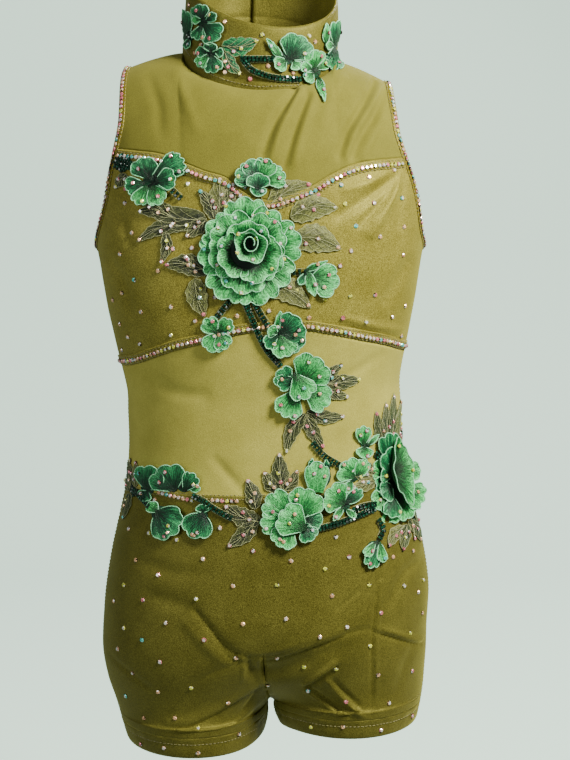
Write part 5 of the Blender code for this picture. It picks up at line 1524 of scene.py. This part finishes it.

# NODE or name, then its leaves: BASE X, Y, TIP X, Y, WIDTH in pixels; BEND; SHADE 0 dark, 1 light, 3 green
# The light lace (SHADE 1) is partly painted light: it goes mostly to the leaves on the right, which the
# light faces, and the dark lace to those on the left.
LEAF_SPRAYS = (
    ("leaves_chest_left", (
        (207, 219, 146, 205, 24, -0.10, 0), (178, 222, 138, 212, 19, 0.16, 0),
        (188, 226, 137, 242, 15, 0.12, 0), (207, 220, 186, 237, 15, 0, 0),
        (166, 231, 161, 264, 11, -0.10, 0), (209, 272, 164, 265, 21, 0.10, 0),
        (195, 278, 205, 317, 21, 0.06, 1), (196, 271, 185, 256, 9, 0, 0),
    )),
    ("leaves_chest_top", (
        (214, 219, 199, 190, 15, 0.10, 0), (219, 213, 220, 177, 20, 0, 1), (226, 209, 234, 183, 13, 0, 0),
    )),
    ("leaves_chest_right", (
        (268, 207, 312, 184, 22, -0.10, 1), (290, 217, 338, 208, 26, -0.12, 1),
        (292, 238, 341, 249, 28, -0.10, 1), (260, 282, 311, 308, 25, -0.10, 1),
        (272, 290, 289, 281, 14, 0, 1),
    )),
    ("leaves_midriff", (
        (324, 384, 361, 379, 15, 0, 0), (326, 382, 342, 364, 11, -0.1, 0), (326, 386, 348, 397, 12, 0.1, 0),
    )),
    ("leaves_below", (
        (305, 413, 286, 454, 15, 0.10, 0), (306, 414, 324, 448, 14, 0.06, 0),
        (306, 412, 345, 416, 14, 0.08, 0),
    )),
    ("leaves_waist", (
        (281, 494, 279, 452, 18, 0, 0), (280, 492, 264, 471, 14, -0.1, 0), (284, 490, 297, 470, 12, 0.1, 0),
        (256, 509, 247, 479, 16, 0.05, 0), (261, 522, 224, 505, 19, -0.08, 0),
        (257, 519, 227, 547, 17, -0.06, 0),
    )),
    ("leaves_hip", (
        (384, 452, 375, 411, 12, 0, 0), (386, 452, 385, 402, 10, 0, 0), (390, 450, 393, 393, 10, 0, 0),
        (396, 448, 401, 399, 9, 0, 1), (402, 446, 405, 412, 8, 0, 1),
    )),
    ("leaves_drop", (
        (404, 526, 388, 547, 13, 0.10, 1), (406, 524, 402, 551, 11, 0, 0),
        (408, 520, 420, 541, 10, -0.1, 0), (414, 512, 424, 540, 8, -0.1, 0),
    )),
    ("leaves_side", (
        (133, 489, 128, 458, 9, 0, 0), (136, 487, 137, 461, 7, 0, 1), (130, 491, 122, 470, 7, 0, 0),
        (131, 493, 124, 519, 8, 0, 0),
    )),
    ("leaves_collar", (
        (222, 46, 259, 40, 19, 0.10, 3), (225, 52, 242, 75, 13, 0.10, 3),
    )),
    ("leaf_petal_waist", (
        (372, 478, 350, 470, 13, 0, 1), (374, 482, 352, 488, 13, 0, 1), (374, 474, 360, 460, 10, 0, 0),
    )),
    ("bud_chest_side", (
        (127, 174, 116, 188, 11, 0, 0), (131, 176, 126, 190, 8, 0, 0),
    )),
)


def polar_grid(around, rows, heart=0.0):
    """The angles and the shares of the radius of a grid round a flower's heart."""
    return np.linspace(0, 2 * np.pi, around)[None, :], np.linspace(heart, 1, rows)[:, None]


BED_HEIGHT = 1.1
SPREAD_MORE = 1.14
SMALL_REACH = 15


def bed(bundle, place, radius):
    """A dark patch of thread where the petals of a flower meet."""
    turn, v = polar_grid(19, 3, 0.05)
    x, y = radius * v * np.cos(turn), radius * v * np.sin(turn)
    top = place(x, y, BED_HEIGHT - 0.3 * v + 0 * turn)
    under = place(x, y, BED_HEIGHT - 0.8 - 0.1 * v + 0 * turn)
    bundle.sheet(top, under, DEEP, np.stack((radius * turn + 0 * v, 0.05 + 0.3 * v + 0 * turn), -1))


def blooms():
    """The small flowers, buds and single petals, each on its bed of thread."""
    for name, petals in BLOOMS:
        bundle = Bundle()
        lean = [(row[0] + 0.4 * row[5] * math.cos(math.radians(row[2])),
                 row[1] - 0.4 * row[5] * math.sin(math.radians(row[2]))) for row in petals]
        middle_x, middle_y = (sum(spot[k] for spot in lean) / len(lean) for k in (0, 1))
        bed(bundle, reading_place(middle_x, middle_y), 0.26 * max(row[5] for row in petals))
        for cx, cy, angle, spread_by, near, reach, low, high, shade, lobes, point, gems in petals:
            place = reading_place(cx, cy)
            cols, rows = (14, 7) if reach < SMALL_REACH else (22, 9)
            petal(bundle, place, angle, spread_by * SPREAD_MORE, 0.5 * near, reach, low, high,
                  shade=DEEP if shade == 3 else BRIGHT, lobes=lobes, point=point, gems=gems, cols=cols,
                  rows=rows, tones=BLOOM_TONES[shade], dome=0.03 * reach, ruffle=0.015 * reach)
        bundle.piece(name + "_thread", PETAL_FINISHES, stands_for(name))


def leaf_sprays():
    """The sprays of lace leaves."""
    for name, leaves in LEAF_SPRAYS:
        bundle = Bundle()
        for bx, by, tx, ty, width, bend, shade in leaves:
            leaf(bundle, (bx, by), (tx, ty), width, bend, shade)
        bundle.piece(name + "_lace", LEAF_FINISHES, stands_for(name))


# COUNT, SPREAD, NEAR, REACH, LOW, HIGH, LOBES, RUFFLE, START, SHADE of the rings of petals
CHEST_RINGS = (
    (8, 31, 0.56, 1.07, 1.6, 3.6, 3, 1.0, 12, 0), (5, 43, 0.42, 0.88, 3.6, 6.2, 3, 1.4, 50, 0),
    (3, 72, 0.36, 0.68, 5.4, 8.4, 4, 1.3, 205, 0),
)
# X, Y in pixels from the hip rose's middle, then the petal's ANGLE, SPREAD, NEAR, REACH, LOW, HIGH,
# LOBES and SHADE
HIP_PETALS = (
    (-3, -12, 250, 58, 4, 30, 1.6, 4.0, 4, 0), (6, -14, 300, 40, 4, 27, 2.4, 5.0, 3, 0),
    (-8, 6, 140, 56, 2, 21, 2.0, 5.0, 4, 0), (-8, 0, 205, 50, 2, 16, 2.2, 4.6, 3, 2),
    (-8, -10, 222, 50, 2, 22, 2.4, 5.2, 3, 0), (10, -8, 332, 40, 3, 29, 3.0, 6.0, 4, 0),
    (13, 6, 12, 44, 2, 18, 4.0, 7.0, 3, 0), (-4, 12, 100, 28, 2, 36, 3.0, 8.0, 3, 2),
    (-4, 4, 150, 60, 0, 15, 5.0, 6.4, 3, 2), (-3, -4, 214, 60, 0, 17, 4.8, 6.2, 3, 2),
    (-2, -14, 256, 44, 0, 22, 4.6, 7.4, 3, 2), (4, 0, 112, 34, 6, 36, 4.6, 9.0, 3, 2),
)
HIP_CUP_MIDDLE = (7.0, 9.0)
HIP_CUP_SIZE = (13.0, 31.0)
HIP_CUP_HEART = -10.0
HIP_CUP_LEAN = -0.20
PIXEL_SIZE = 0.00077
CUP_MIDDLE = (0.06, 0.13)
FLOOR_WALL = 0.0004

# The readings of the roses' middles, and how far each turns from the cloth towards the viewer
CHEST_ROSE, CHEST_TURN = (248, 251), 0.0
HIP_ROSE, HIP_TURN = (392, 480), 1.2
CHEST_ROSE_RADIUS = 35.2
MILLIMETRE = 0.001
CHEST_ROSE_STONES = (
    (226, 206), (235, 218), (253, 216), (267, 213), (275, 222), (291, 228), (280, 244), (284, 259),
    (272, 269), (252, 283), (226, 281), (241, 293), (217, 265), (203, 268), (221, 246), (218, 228),
    (200, 234), (204, 249), (238, 234), (261, 231), (256, 239), (237, 253), (253, 260),
)
HIP_ROSE_STONES = ((399, 446), (413, 470), (418, 492), (400, 512), (380, 500), (376, 458), (386, 476))


def stones_on(bundle, readings):
    """Stones on raised petals, at the places where the viewer sees them."""
    tree = BVHTree.FromPolygons(np.concatenate(bundle.points).tolist(), bundle.faces)
    for px, py in readings:
        hit, normal, _, _ = tree.ray_cast(Vector(EYE), Vector(sight(px, py)))
        if hit is not None:
            normal = np.array(normal)
            normal = normal if normal[1] < 0 else -normal
            at = np.array(hit) + unit(normal) * PETAL_GEM_LIFT
            gem(at, normal + np.array((0.0, -0.6, 0.2)), PETAL_GEM, ROSE_TINTS)


def rose_frame(reading, turned, unit_size):
    """A rose's placing function and the way it faces."""
    centre = seen(*reading)
    normal = unit(np.array(soft_normal(centre, 0.02)) - np.array((0.0, turned, 0.0)))
    across = unit(np.array((1.0, 0.0, 0.0)) - normal * normal[0])
    upright = np.cross(normal, across)
    return framed_place(np.array(centre), across, upright, normal, unit_size), normal


def rose_floor(bundle, place, normal, middle, size, height):
    """A dark sheet between the petals of a rose: partly its deep thread, partly painted shade in the gaps.
    """
    turn, v = polar_grid(31, 5, 0.02)
    x, y = middle + size[0] * v * np.cos(turn), size[1] * v * np.sin(turn)
    dark = place(x, y, height + 0 * x)
    bundle.sheet(dark, dark - normal * FLOOR_WALL, DEEP, np.zeros((*x.shape, 2)))


def rose_ring(bundle, place, r, ring):
    count, spread_by, near, reach, low, high, lobes, ruffle, start, shade = ring
    for k in range(count):
        angle = start + 360 * k / count + RANDOM.uniform(-8, 8)
        grown = reach * RANDOM.uniform(0.88, 1.06)
        petal(bundle, place, angle, spread_by, near * r, grown * r, low, high + RANDOM.uniform(-0.5, 0.5),
              shade=shade, lobes=lobes, notch=0.12, ruffle=ruffle, dome=1.0,
              tones=(0.0, 0.90) if shade else (0.06, 0.97), cols=26, rows=10, gems=0)


def rose_cup(bundle, place, r):
    """The flared cup in the middle of a rose, egg-shaped, with a spiral of petal inside."""
    turn, v = polar_grid(49, 10)
    egg = 0.22 + 0.03 * np.sin(5 * turn + 0.6) + 0.03 * np.sin(2 * turn + 2.2) + 0.04 * np.cos(turn - 5.0)
    flare = 0.13 + egg * v
    h = 6.4 + 6.0 * v ** 0.8 + 0.8 * v * np.sin(5 * turn + 1.4) + 0.7 * v * np.sin(turn)
    x, y = r * (CUP_MIDDLE[0] + 0.86 * flare * np.cos(turn)), r * (CUP_MIDDLE[1] + flare * np.sin(turn))
    top, under = place(x, y, h), place(x, y, h - PETAL_WALL)
    lay = np.stack((turn * 0.3 * r + 0 * v, 0.02 + 0.93 * v + 0 * turn), -1)
    bundle.sheet(top, under, BRIGHT, lay)
    bundle.tube(top[-1, :-1], CORD_RADIUS, EDGE, 5, closed=True)
    turn = np.linspace(-0.6, 2 * np.pi * 1.35, 60)[None, :]
    v = np.linspace(0, 1, 7)[:, None]
    size = 0.05 + 0.10 * (turn - turn.min()) / (turn.max() - turn.min()) + 0.03 * v
    h = 6.2 + 6.4 * v ** 0.9 - 1.2 * (turn - turn.min()) / 9.0 * v
    x = r * (CUP_MIDDLE[0] + size * np.cos(turn))
    y = r * (CUP_MIDDLE[1] + 0.03 + size * 1.2 * np.sin(turn))
    top, under = place(x, y, h), place(x * 0.97, y * 0.97, h)
    lay = np.stack((turn * 0.15 * r + 0 * v, 0.05 + 0.85 * v + 0 * turn), -1)
    bundle.sheet(top, under, DEEP, lay)
    bundle.tube(top[-1], CORD_RADIUS, EDGE, 5)


def chest_rose():
    """A standing rose that faces the viewer: rings of ruffled petals round a cup."""
    bundle = Bundle()
    place, normal = rose_frame(CHEST_ROSE, CHEST_TURN, MILLIMETRE)
    r = CHEST_ROSE_RADIUS
    for ring in CHEST_RINGS:
        rose_ring(bundle, place, r, ring)
    rose_cup(bundle, place, r)
    # A dark sheet under the inner petals: partly deep thread, partly painted shade.
    rose_floor(bundle, place, normal, 0.0, (0.52 * r, 0.52 * r), 4.6)
    bundle.piece("rose_chest_thread", PETAL_FINISHES, ("rose_chest",))
    stones_on(bundle, CHEST_ROSE_STONES)


def hip_cup(bundle, place):
    """The open cup of the rose on the hip, seen from its side, dark inside, partly by painted shade, and
    lighter on its right wall by painted light, with a near and a far lip.
    """
    turn, v = polar_grid(53, 11)
    edge = 1 + 0.08 * np.sin(4 * turn + 0.8) + 0.06 * np.sin(9 * turn)
    grow = (0.10 + 0.90 * v ** 0.8) * edge
    y = HIP_CUP_SIZE[1] * grow * np.sin(turn)
    x = HIP_CUP_MIDDLE[0] + HIP_CUP_SIZE[0] * grow * np.cos(turn)
    x = x + HIP_CUP_LEAN * y + HIP_CUP_HEART * (1 - v)
    h = 5.0 + 6.5 * v ** 0.7 - 2.5 * v * np.cos(turn) + 0.5 * v * np.sin(6 * turn)
    top, under = place(x, HIP_CUP_MIDDLE[1] + y, h), place(x, HIP_CUP_MIDDLE[1] + y, h - PETAL_WALL)
    # The tone darkens towards the floor, partly the petals' dark heart and partly painted shade inside the
    # cup, and is lighter on the right wall than the left: painted light from the right.
    lay = np.stack((turn * 22.0 + 0 * v, 0.02 + v ** 1.5 * (0.60 + 0.30 * np.cos(turn))), -1)
    bundle.sheet(top, under, BRIGHT, lay)
    bundle.tube(top[-1, :-1], CORD_RADIUS, EDGE, 5, closed=True)


def hip_rose():
    """The rose on the hip, which opens to the viewer's right."""
    bundle = Bundle()
    place, normal = rose_frame(HIP_ROSE, HIP_TURN, PIXEL_SIZE)
    for dx, dy, angle, spread_by, near, reach, low, high, lobes, shade in HIP_PETALS:

        def shifted(x, y, h, dx=dx, dy=dy):
            return place(x + dx, y + dy, h)

        petal(bundle, shifted, angle, spread_by, near, reach, low, high, shade=shade, lobes=lobes,
              notch=0.12, ruffle=0.7, dome=0.8, tones=(0.0, 0.80) if shade else (0.04, 0.92), cols=24,
              rows=10, gems=0)
    # A dark sheet under the petals and cup: partly deep thread, partly painted shade.
    rose_floor(bundle, place, normal, -1.0, (15.0, 26.0), 3.6)
    hip_cup(bundle, place)
    bundle.piece("rose_hip_thread", PETAL_FINISHES, ("rose_hip",))
    stones_on(bundle, HIP_ROSE_STONES)


# NODE or name, then PX, PY of the beads' path
BEAD_STEMS = (
    ("stem_rose", ((244, 300), (250, 314), (258, 333), (267, 350), (280, 365))),
    ("stem_rose_right", ((252, 297), (260, 313), (269, 327))),
    ("stem_bud_low", ((234, 296), (226, 306), (218, 316))), ("stem_bud_top", ((258, 195), (260, 207))),
    ("stem_bud_right", ((294, 272), (305, 272))), ("stem_chest", ((170, 188), (181, 198))),
    ("stem_midriff", ((313, 443), (323, 455), (341, 466))),
    ("stem_waist", ((316, 529), (332, 525), (352, 518), (373, 509))),
    ("stem_waist_upper", ((353, 510), (363, 506), (374, 504))),
    ("stem_drop", ((378, 520), (382, 529), (379, 538))),
    ("stem_left", ((134, 488), (142, 497), (150, 506))),
    ("stem_left_right", ((194, 496), (204, 501), (213, 508), (231, 518))),
    ("stem_collar", ((243, 60), (252, 70), (267, 76), (284, 79), (299, 80))),
    ("stem_collar_upper", ((242, 59), (257, 59), (272, 59))),
)

# PX, PY, RADIUS in pixels of the clusters of black-green beads
BEAD_CLUSTERS = (
    (124, 163, 9), (312, 464, 4), (327, 467, 4), (308, 524, 5), (302, 531, 4), (386, 470, 4), (384, 486, 5),
    (377, 456, 4), (192, 36, 4), (327, 58, 5), (136, 492, 4), (144, 495, 3), (406, 434, 3), (405, 446, 2),
)


# The place along a bead and the share of its radius there
BEAD_SECTION = ((-1.0, 0.55), (-0.55, 1.0), (0.55, 1.0), (1.0, 0.55))


def bead(bundle, at, normal, along, radius):
    """A cut bead, longer along its thread, with one facet that catches the light."""
    side = unit(np.cross(along, normal))
    turn = (np.arange(6) + RANDOM.uniform(0, 1)) * np.pi / 3
    ring = circle(side, normal, turn)
    rings = []
    for step, size in BEAD_SECTION:
        rings.append(at + along * step * radius * 0.9 + ring * radius * size)
    faces = [tuple(f) for f in grid_faces(4, 6, closed=True)]
    faces += [tuple(range(5, -1, -1)), tuple(range(18, 24))]
    shades = [int(RANDOM.choice((0, 1), p=(0.80, 0.20))) for _ in faces]
    bundle.add(np.concatenate(rings), faces, shades)


def line_lengths(points):
    """How far along a line each of its points lies."""
    return np.concatenate(((0,), np.cumsum(np.linalg.norm(np.diff(points, axis=0), axis=1))))


def points_at(points, lengths, spots):
    """The points of a line at these distances along it."""
    return np.stack([np.interp(spots, lengths, points[:, k]) for k in range(3)], -1)


def read_line(readings, steps=10):
    """Points of the cloth along a smooth line of readings."""
    line = smooth_loop(np.array(readings, float), steps, False)
    return np.array([tuple(seen(px, py)) for px, py in line])


BEAD_PITCH = 0.0024
BEAD_RADIUS, CLUSTER_BEAD = 0.00128, 0.00115
BEAD_LIFT, CLUSTER_LIFT = 0.0017, 0.0014
BEAD_ASIDE, THREAD_ASIDE = 0.00108, 0.0023
THREAD_LIFT, THREAD_RADIUS = 0.0007, 0.0003


def bead_stems():
    """Stems of two rows of beads between two threads, and the small clusters of beads."""
    for name, readings in BEAD_STEMS:
        bundle = Bundle()
        points = read_line(readings, 8)
        lengths = line_lengths(points)
        count = max(int(lengths[-1] / BEAD_PITCH), 2)
        centres = points_at(points, lengths, np.linspace(0, lengths[-1], count))
        normals = np.array([tuple(soft_normal(Vector(c))) for c in centres])
        along = unit(np.gradient(centres, axis=0))
        for at, normal, way in zip(centres, normals, along):
            side = unit(np.cross(way, normal))
            for across in (-1, 1):
                jitter = RANDOM.uniform(-0.0002, 0.0002)
                spot = at + normal * (BEAD_LIFT + jitter) + side * across * BEAD_ASIDE
                bead(bundle, spot, normal, way, BEAD_RADIUS)
        for across in (-1, 1):
            edge = centres + normals * THREAD_LIFT + unit(np.cross(along, normals)) * across * THREAD_ASIDE
            bundle.tube(edge, THREAD_RADIUS, VEIN_THREAD, 4)
        bundle.piece(name + "_beads", BEAD_FINISHES, stands_for(name), smooth=False)
    bundle = Bundle()
    for px, py, size in BEAD_CLUSTERS:
        count = max(int(size * size * 0.55), 5)
        for k in range(count):
            turn, out = k * 2.4, size * math.sqrt((k + 0.5) / count)
            at = seen(px + out * math.cos(turn), py + out * math.sin(turn))
            normal = np.array(soft_normal(at))
            way = unit(np.cross(normal, (math.sin(k * 1.7), 0.3, math.cos(k * 1.7))))
            bead(bundle, np.array(at) + normal * CLUSTER_LIFT, normal, way, CLUSTER_BEAD)
    bundle.piece("bead_clusters", BEAD_FINISHES, smooth=False)


# SHARE of the channel's width and how far it stands out there in millimetres
TRIM_SECTION = (
    (0.00, -0.2), (-0.02, 0.7), (0.04, 1.3), (0.14, 1.35), (0.22, 1.0), (0.34, 1.15),
    (0.60, 1.5), (0.84, 1.2), (0.97, 0.6), (1.02, -0.2), (0.5, -0.2),
)


def trim_piece(name, seam, drop):
    """A narrow satin channel along a seam of the front, rolled over at its upper edge."""
    q = np.linspace(-0.985, 0.985, 121)
    sections = []
    for share, rise in TRIM_SECTION:
        z = table(seam, 1, q) - drop - TRIM_WIDTH * share
        x = q * half_width(-1, z)
        row = []
        for p in posed(form_points(x, -1, z)):
            at = SKIN.find_nearest(Vector(p))[0]
            row.append(np.array(at + soft_normal(at, 0.003) * (rise * 0.001)))
        sections.append(row)
    sections = np.array(sections).transpose(1, 0, 2)
    tube_piece(name + "_channel", sections, SATIN, False, (name,))
    BANDS[name] = sections


STONE_PITCH = 0.0036
STONE_TILT = 0.1
ROW_GEM = 0.00165
STITCH_LONG = 0.0021
STITCH_PITCH = 0.0030
STITCH_RADIUS = 0.00028
STITCH_DIP = 0.0003
# The place along a stitch, the share of its thickness and its rise there
STITCH_SECTION = ((-0.5, 0.4, -0.3), (-0.3, 1.0, 0.3), (0.3, 1.0, 0.3), (0.5, 0.4, -0.3))
STITCHES = Bundle()


def along_line(points, pitch):
    """Points at an even pitch along a line, and its direction there."""
    lengths = line_lengths(points)
    at = points_at(points, lengths, np.arange(pitch / 2, lengths[-1], pitch))
    return at, unit(np.gradient(at, axis=0))


def stone_row(points):
    """Stones side by side along a line of points."""
    for p in along_line(points, STONE_PITCH)[0]:
        normal = np.array(SKIN.find_nearest(Vector(p))[1])
        gem(p, normal + STONE_TILT * RANDOM.uniform(-1, 1, 3), ROW_GEM)


def stitch_row(points, lift=0.0001):
    """A row of straight stitches, each a short thread that dips in at both ends."""
    at, way = along_line(points, STITCH_PITCH)
    turn = np.arange(5) * 2 * np.pi / 5
    for p, along in zip(at, way):
        normal = np.array(SKIN.find_nearest(Vector(p))[1])
        ring = circle(unit(np.cross(along, normal)), normal, turn)
        rows = []
        for step, size, rise in STITCH_SECTION:
            middle = p + along * (step * STITCH_LONG) + normal * (lift + rise * STITCH_DIP)
            rows.append(middle + ring * size * STITCH_RADIUS)
        STITCHES.add(np.concatenate(rows), grid_faces(4, 5, closed=True), 0)


# PX, PY of the single stones sewn over the front
BUST_STONES = (
    (125, 203), (132, 233), (120, 254), (134, 280), (158, 271), (122, 293), (113, 300), (141, 312),
    (171, 307), (120, 324), (128, 337), (140, 344), (171, 335), (195, 321), (215, 297), (237, 316),
    (192, 248), (173, 249), (122, 350), (341, 185), (318, 195), (345, 204), (340, 266), (325, 299),
    (297, 290), (269, 311), (309, 318), (343, 318), (350, 296), (375, 295), (405, 306), (392, 317),
    (366, 322), (401, 336), (369, 177), (374, 203), (402, 198), (356, 226), (380, 237), (351, 251),
    (404, 227), (403, 255), (394, 170), (188, 184), (245, 187),
)
SHORTS_STONES = (
    (149, 533), (177, 540), (220, 528), (155, 500), (253, 551), (203, 559), (291, 561), (129, 529),
    (136, 560), (158, 575), (124, 585), (233, 586), (277, 585), (114, 601), (143, 600), (196, 599),
    (325, 569), (124, 628), (166, 623), (243, 624), (286, 619), (142, 640), (204, 640), (118, 649),
    (160, 662), (236, 658), (277, 658), (320, 637), (133, 673), (158, 692), (191, 688), (126, 696),
    (268, 685), (304, 667), (308, 691), (228, 703), (144, 718), (175, 718), (198, 728), (239, 734),
    (141, 744), (164, 748), (198, 753), (311, 727), (336, 537), (349, 557), (393, 557), (413, 551),
    (369, 585), (404, 586), (332, 596), (418, 592), (423, 580), (381, 613), (347, 627), (410, 633),
    (422, 613), (370, 646), (336, 669), (378, 675), (412, 671), (346, 702), (389, 703), (343, 727),
    (381, 730), (412, 716),
)
COLLAR_STONES = (
    (225, 22), (262, 35), (309, 36), (315, 42), (195, 53), (225, 72), (250, 79), (268, 66), (293, 73),
    (189, 5), (195, 31), (211, 36), (288, 45), (300, 62), (201, 45),
)
BACK_BUST_STONES = 46
BACK_SHORTS_STONES = 64


def scattered_stones():
    """Single stones over the bust, shorts and collar, read at the front and spread at the back."""
    for px, py in BUST_STONES + SHORTS_STONES + COLLAR_STONES:
        at = seen(px, py)
        gem(np.array(at), np.array(soft_normal(at, 0.003)), tints=CLOTH_TINTS)
    for count, low, high in ((BACK_BUST_STONES, -0.205, -0.095), (BACK_SHORTS_STONES, -0.485, -0.315)):
        for k in range(count):
            share = (k * 0.618034) % 1.0
            z = low + (high - low) * (k + 0.5) / count + RANDOM.uniform(-0.004, 0.004)
            wide = float(table(BODY, 1, np.array(z)))
            x = (2 * share - 1) * 0.96 * wide + RANDOM.uniform(-0.004, 0.004)
            near, normal = SKIN.find_nearest(Vector((x, 0.085, z)))[:2]
            if near.y > -0.012:
                gem(np.array(near), np.array(normal), tints=CLOTH_TINTS)


# The columns of stones and of stitches on the channels and bindings
TRIM_STONES, TRIM_SEWN = 6, (4, 8)
BINDING_STONES, BINDING_SEWN = 5, 8
# PX, PY of the rows of stones at the waist and of the sewn line of the collar
WAIST_STONES = (((157, 492), (176, 497), (194, 501)), ((210, 500), (226, 501), (240, 501)))
COLLAR_SEWN = ((185, 49), (200, 67), (220, 78), (254, 86), (275, 86), (305, 85))
COLLAR_SEWN_LIFT = 0.0002


def stone_rows_and_stitches():
    """The rows of stones on the channels, bindings and waist, and the sewing beside the seams."""
    for name in ("sweetheart_trim", "underbust_trim"):
        stone_row(BANDS[name][:, TRIM_STONES])
        for column in TRIM_SEWN:
            stitch_row(BANDS[name][:, column])
    for name in ("armhole_left", "armhole_right"):
        stone_row(closed_line(BANDS[name][:, BINDING_STONES]))
        stitch_row(closed_line(BANDS[name][:, BINDING_SEWN]))
    for name in ("hem_left", "hem_right"):
        stitch_row(closed_line(BANDS[name][HEM_STITCH_ROW]))
    for line in SEAMS:
        stitch_row(line)
    for readings in WAIST_STONES:
        stone_row(read_line(readings))
    stitch_row(read_line(COLLAR_SEWN), COLLAR_SEWN_LIFT)


STAGE_COLOUR = (0.60, 0.80, 0.67)
STAGE_BOUNCE = (0.16, 0.18, 0.16)
STAGE_GLOW, STAGE_SPILL = 1.28, 0.12
STAGE_FLOOR, STAGE_WALL, STAGE_BEND = -0.8, 1.6, 0.6
WORLD_COLOUR = (0.97, 0.98, 1.0, 1.0)
WORLD_LIGHT = 0.11
SENSOR = 36.0

# NAME, place, aim, size, energy, colour
LIGHTS = (
    ("key", (0.70, -0.62, 0.54), (0.0, 0.0, -0.22), 0.4, 36.0, (1.0, 0.97, 0.86)),
    ("fill", (-1.3, -1.3, 0.3), (0.0, 0.0, -0.25), 1.2, 13.0, (0.95, 0.98, 0.96)),
    ("back", (0.9, 1.5, 0.9), (0.0, 0.0, -0.25), 0.8, 24.0, (1.0, 0.98, 0.94)),
)


def in_scene(name, data):
    """A new object of the scene, whose place is set by the caller."""
    obj = bpy.data.objects.new(name, data)
    bpy.context.scene.collection.objects.link(obj)
    return obj


def paper_material():
    """Pale paper that looks bright to the camera but throws little light on the garment."""
    material, tree, shader = new_material("pale studio paper", 0.9)
    looked_at = tree.nodes.new("ShaderNodeLightPath").outputs["Is Camera Ray"]
    glow = maths(tree, "MULTIPLY_ADD", looked_at, STAGE_GLOW - STAGE_SPILL, STAGE_SPILL)
    tree.links.new(glow, shader.inputs["Emission Strength"])
    paper = mixed(tree, looked_at, STAGE_BOUNCE, STAGE_COLOUR)
    tree.links.new(paper, shader.inputs["Base Color"])
    shader.inputs["Base Color"].default_value = (*STAGE_COLOUR, 1.0)
    shader.inputs["Emission Color"].default_value = (*STAGE_COLOUR, 1.0)
    return material


def sweep():
    """A pale sweep of paper under and behind the garment."""
    bend = np.linspace(0, math.pi / 2, 25)
    y = STAGE_WALL + STAGE_BEND * np.sin(bend)
    z = STAGE_FLOOR + STAGE_BEND * (1 - np.cos(bend))
    profile = [(-4.0, STAGE_FLOOR), *zip(y.tolist(), z.tolist()), (STAGE_WALL + STAGE_BEND, 4.0)]
    points = [(x, y, z) for y, z in profile for x in (-5.0, 5.0)]
    faces = [(2 * k, 2 * k + 1, 2 * k + 3, 2 * k + 2) for k in range(len(profile) - 1)]
    mesh = bpy.data.meshes.new("pale_sweep")
    mesh.from_pydata(points, [], faces)
    mesh.polygons.foreach_set("use_smooth", [True] * len(faces))
    mesh.materials.append(paper_material())
    backdrop = in_scene("pale_sweep", mesh)


def lamps():
    """Soft light from the right and above, a weak fill, a lamp behind, and a dim world."""
    world = bpy.data.worlds.new("studio")
    world.use_nodes = True
    background = world.node_tree.nodes["Background"]
    background.inputs["Color"].default_value = WORLD_COLOUR
    background.inputs["Strength"].default_value = WORLD_LIGHT
    bpy.context.scene.world = world
    for name, place, aim, size, energy, colour in LIGHTS:
        lamp = bpy.data.lights.new(name, "AREA")
        lamp.shape, lamp.size, lamp.energy, lamp.color = "DISK", size, energy, colour
        obj = in_scene(name, lamp)
        obj.location = place
        obj.rotation_euler = (Vector(aim) - Vector(place)).to_track_quat("-Z", "Y").to_euler()


def camera():
    """The viewer's camera."""
    view = bpy.data.cameras.new("camera")
    view.sensor_fit = "VERTICAL"
    view.sensor_height = SENSOR
    view.lens = EYE_FOCAL / VIEW_HEIGHT * SENSOR
    obj = in_scene("camera", view)
    obj.location = EYE
    obj.rotation_euler = (math.pi / 2 - EYE_TILT, 0.0, 0.0)
    bpy.context.scene.camera = obj


sweep()
lamps()
camera()
trim_piece("sweetheart_trim", SWEETHEART, 0.0006)
trim_piece("underbust_trim", UNDERBUST, -0.0010 - TRIM_WIDTH)
chest_rose()
hip_rose()
blooms()
leaf_sprays()
bead_stems()
scattered_stones()
stone_rows_and_stitches()
STITCHES.piece("stitches", (STITCH,))
GEMS.piece("crystals", STONES, smooth=False)
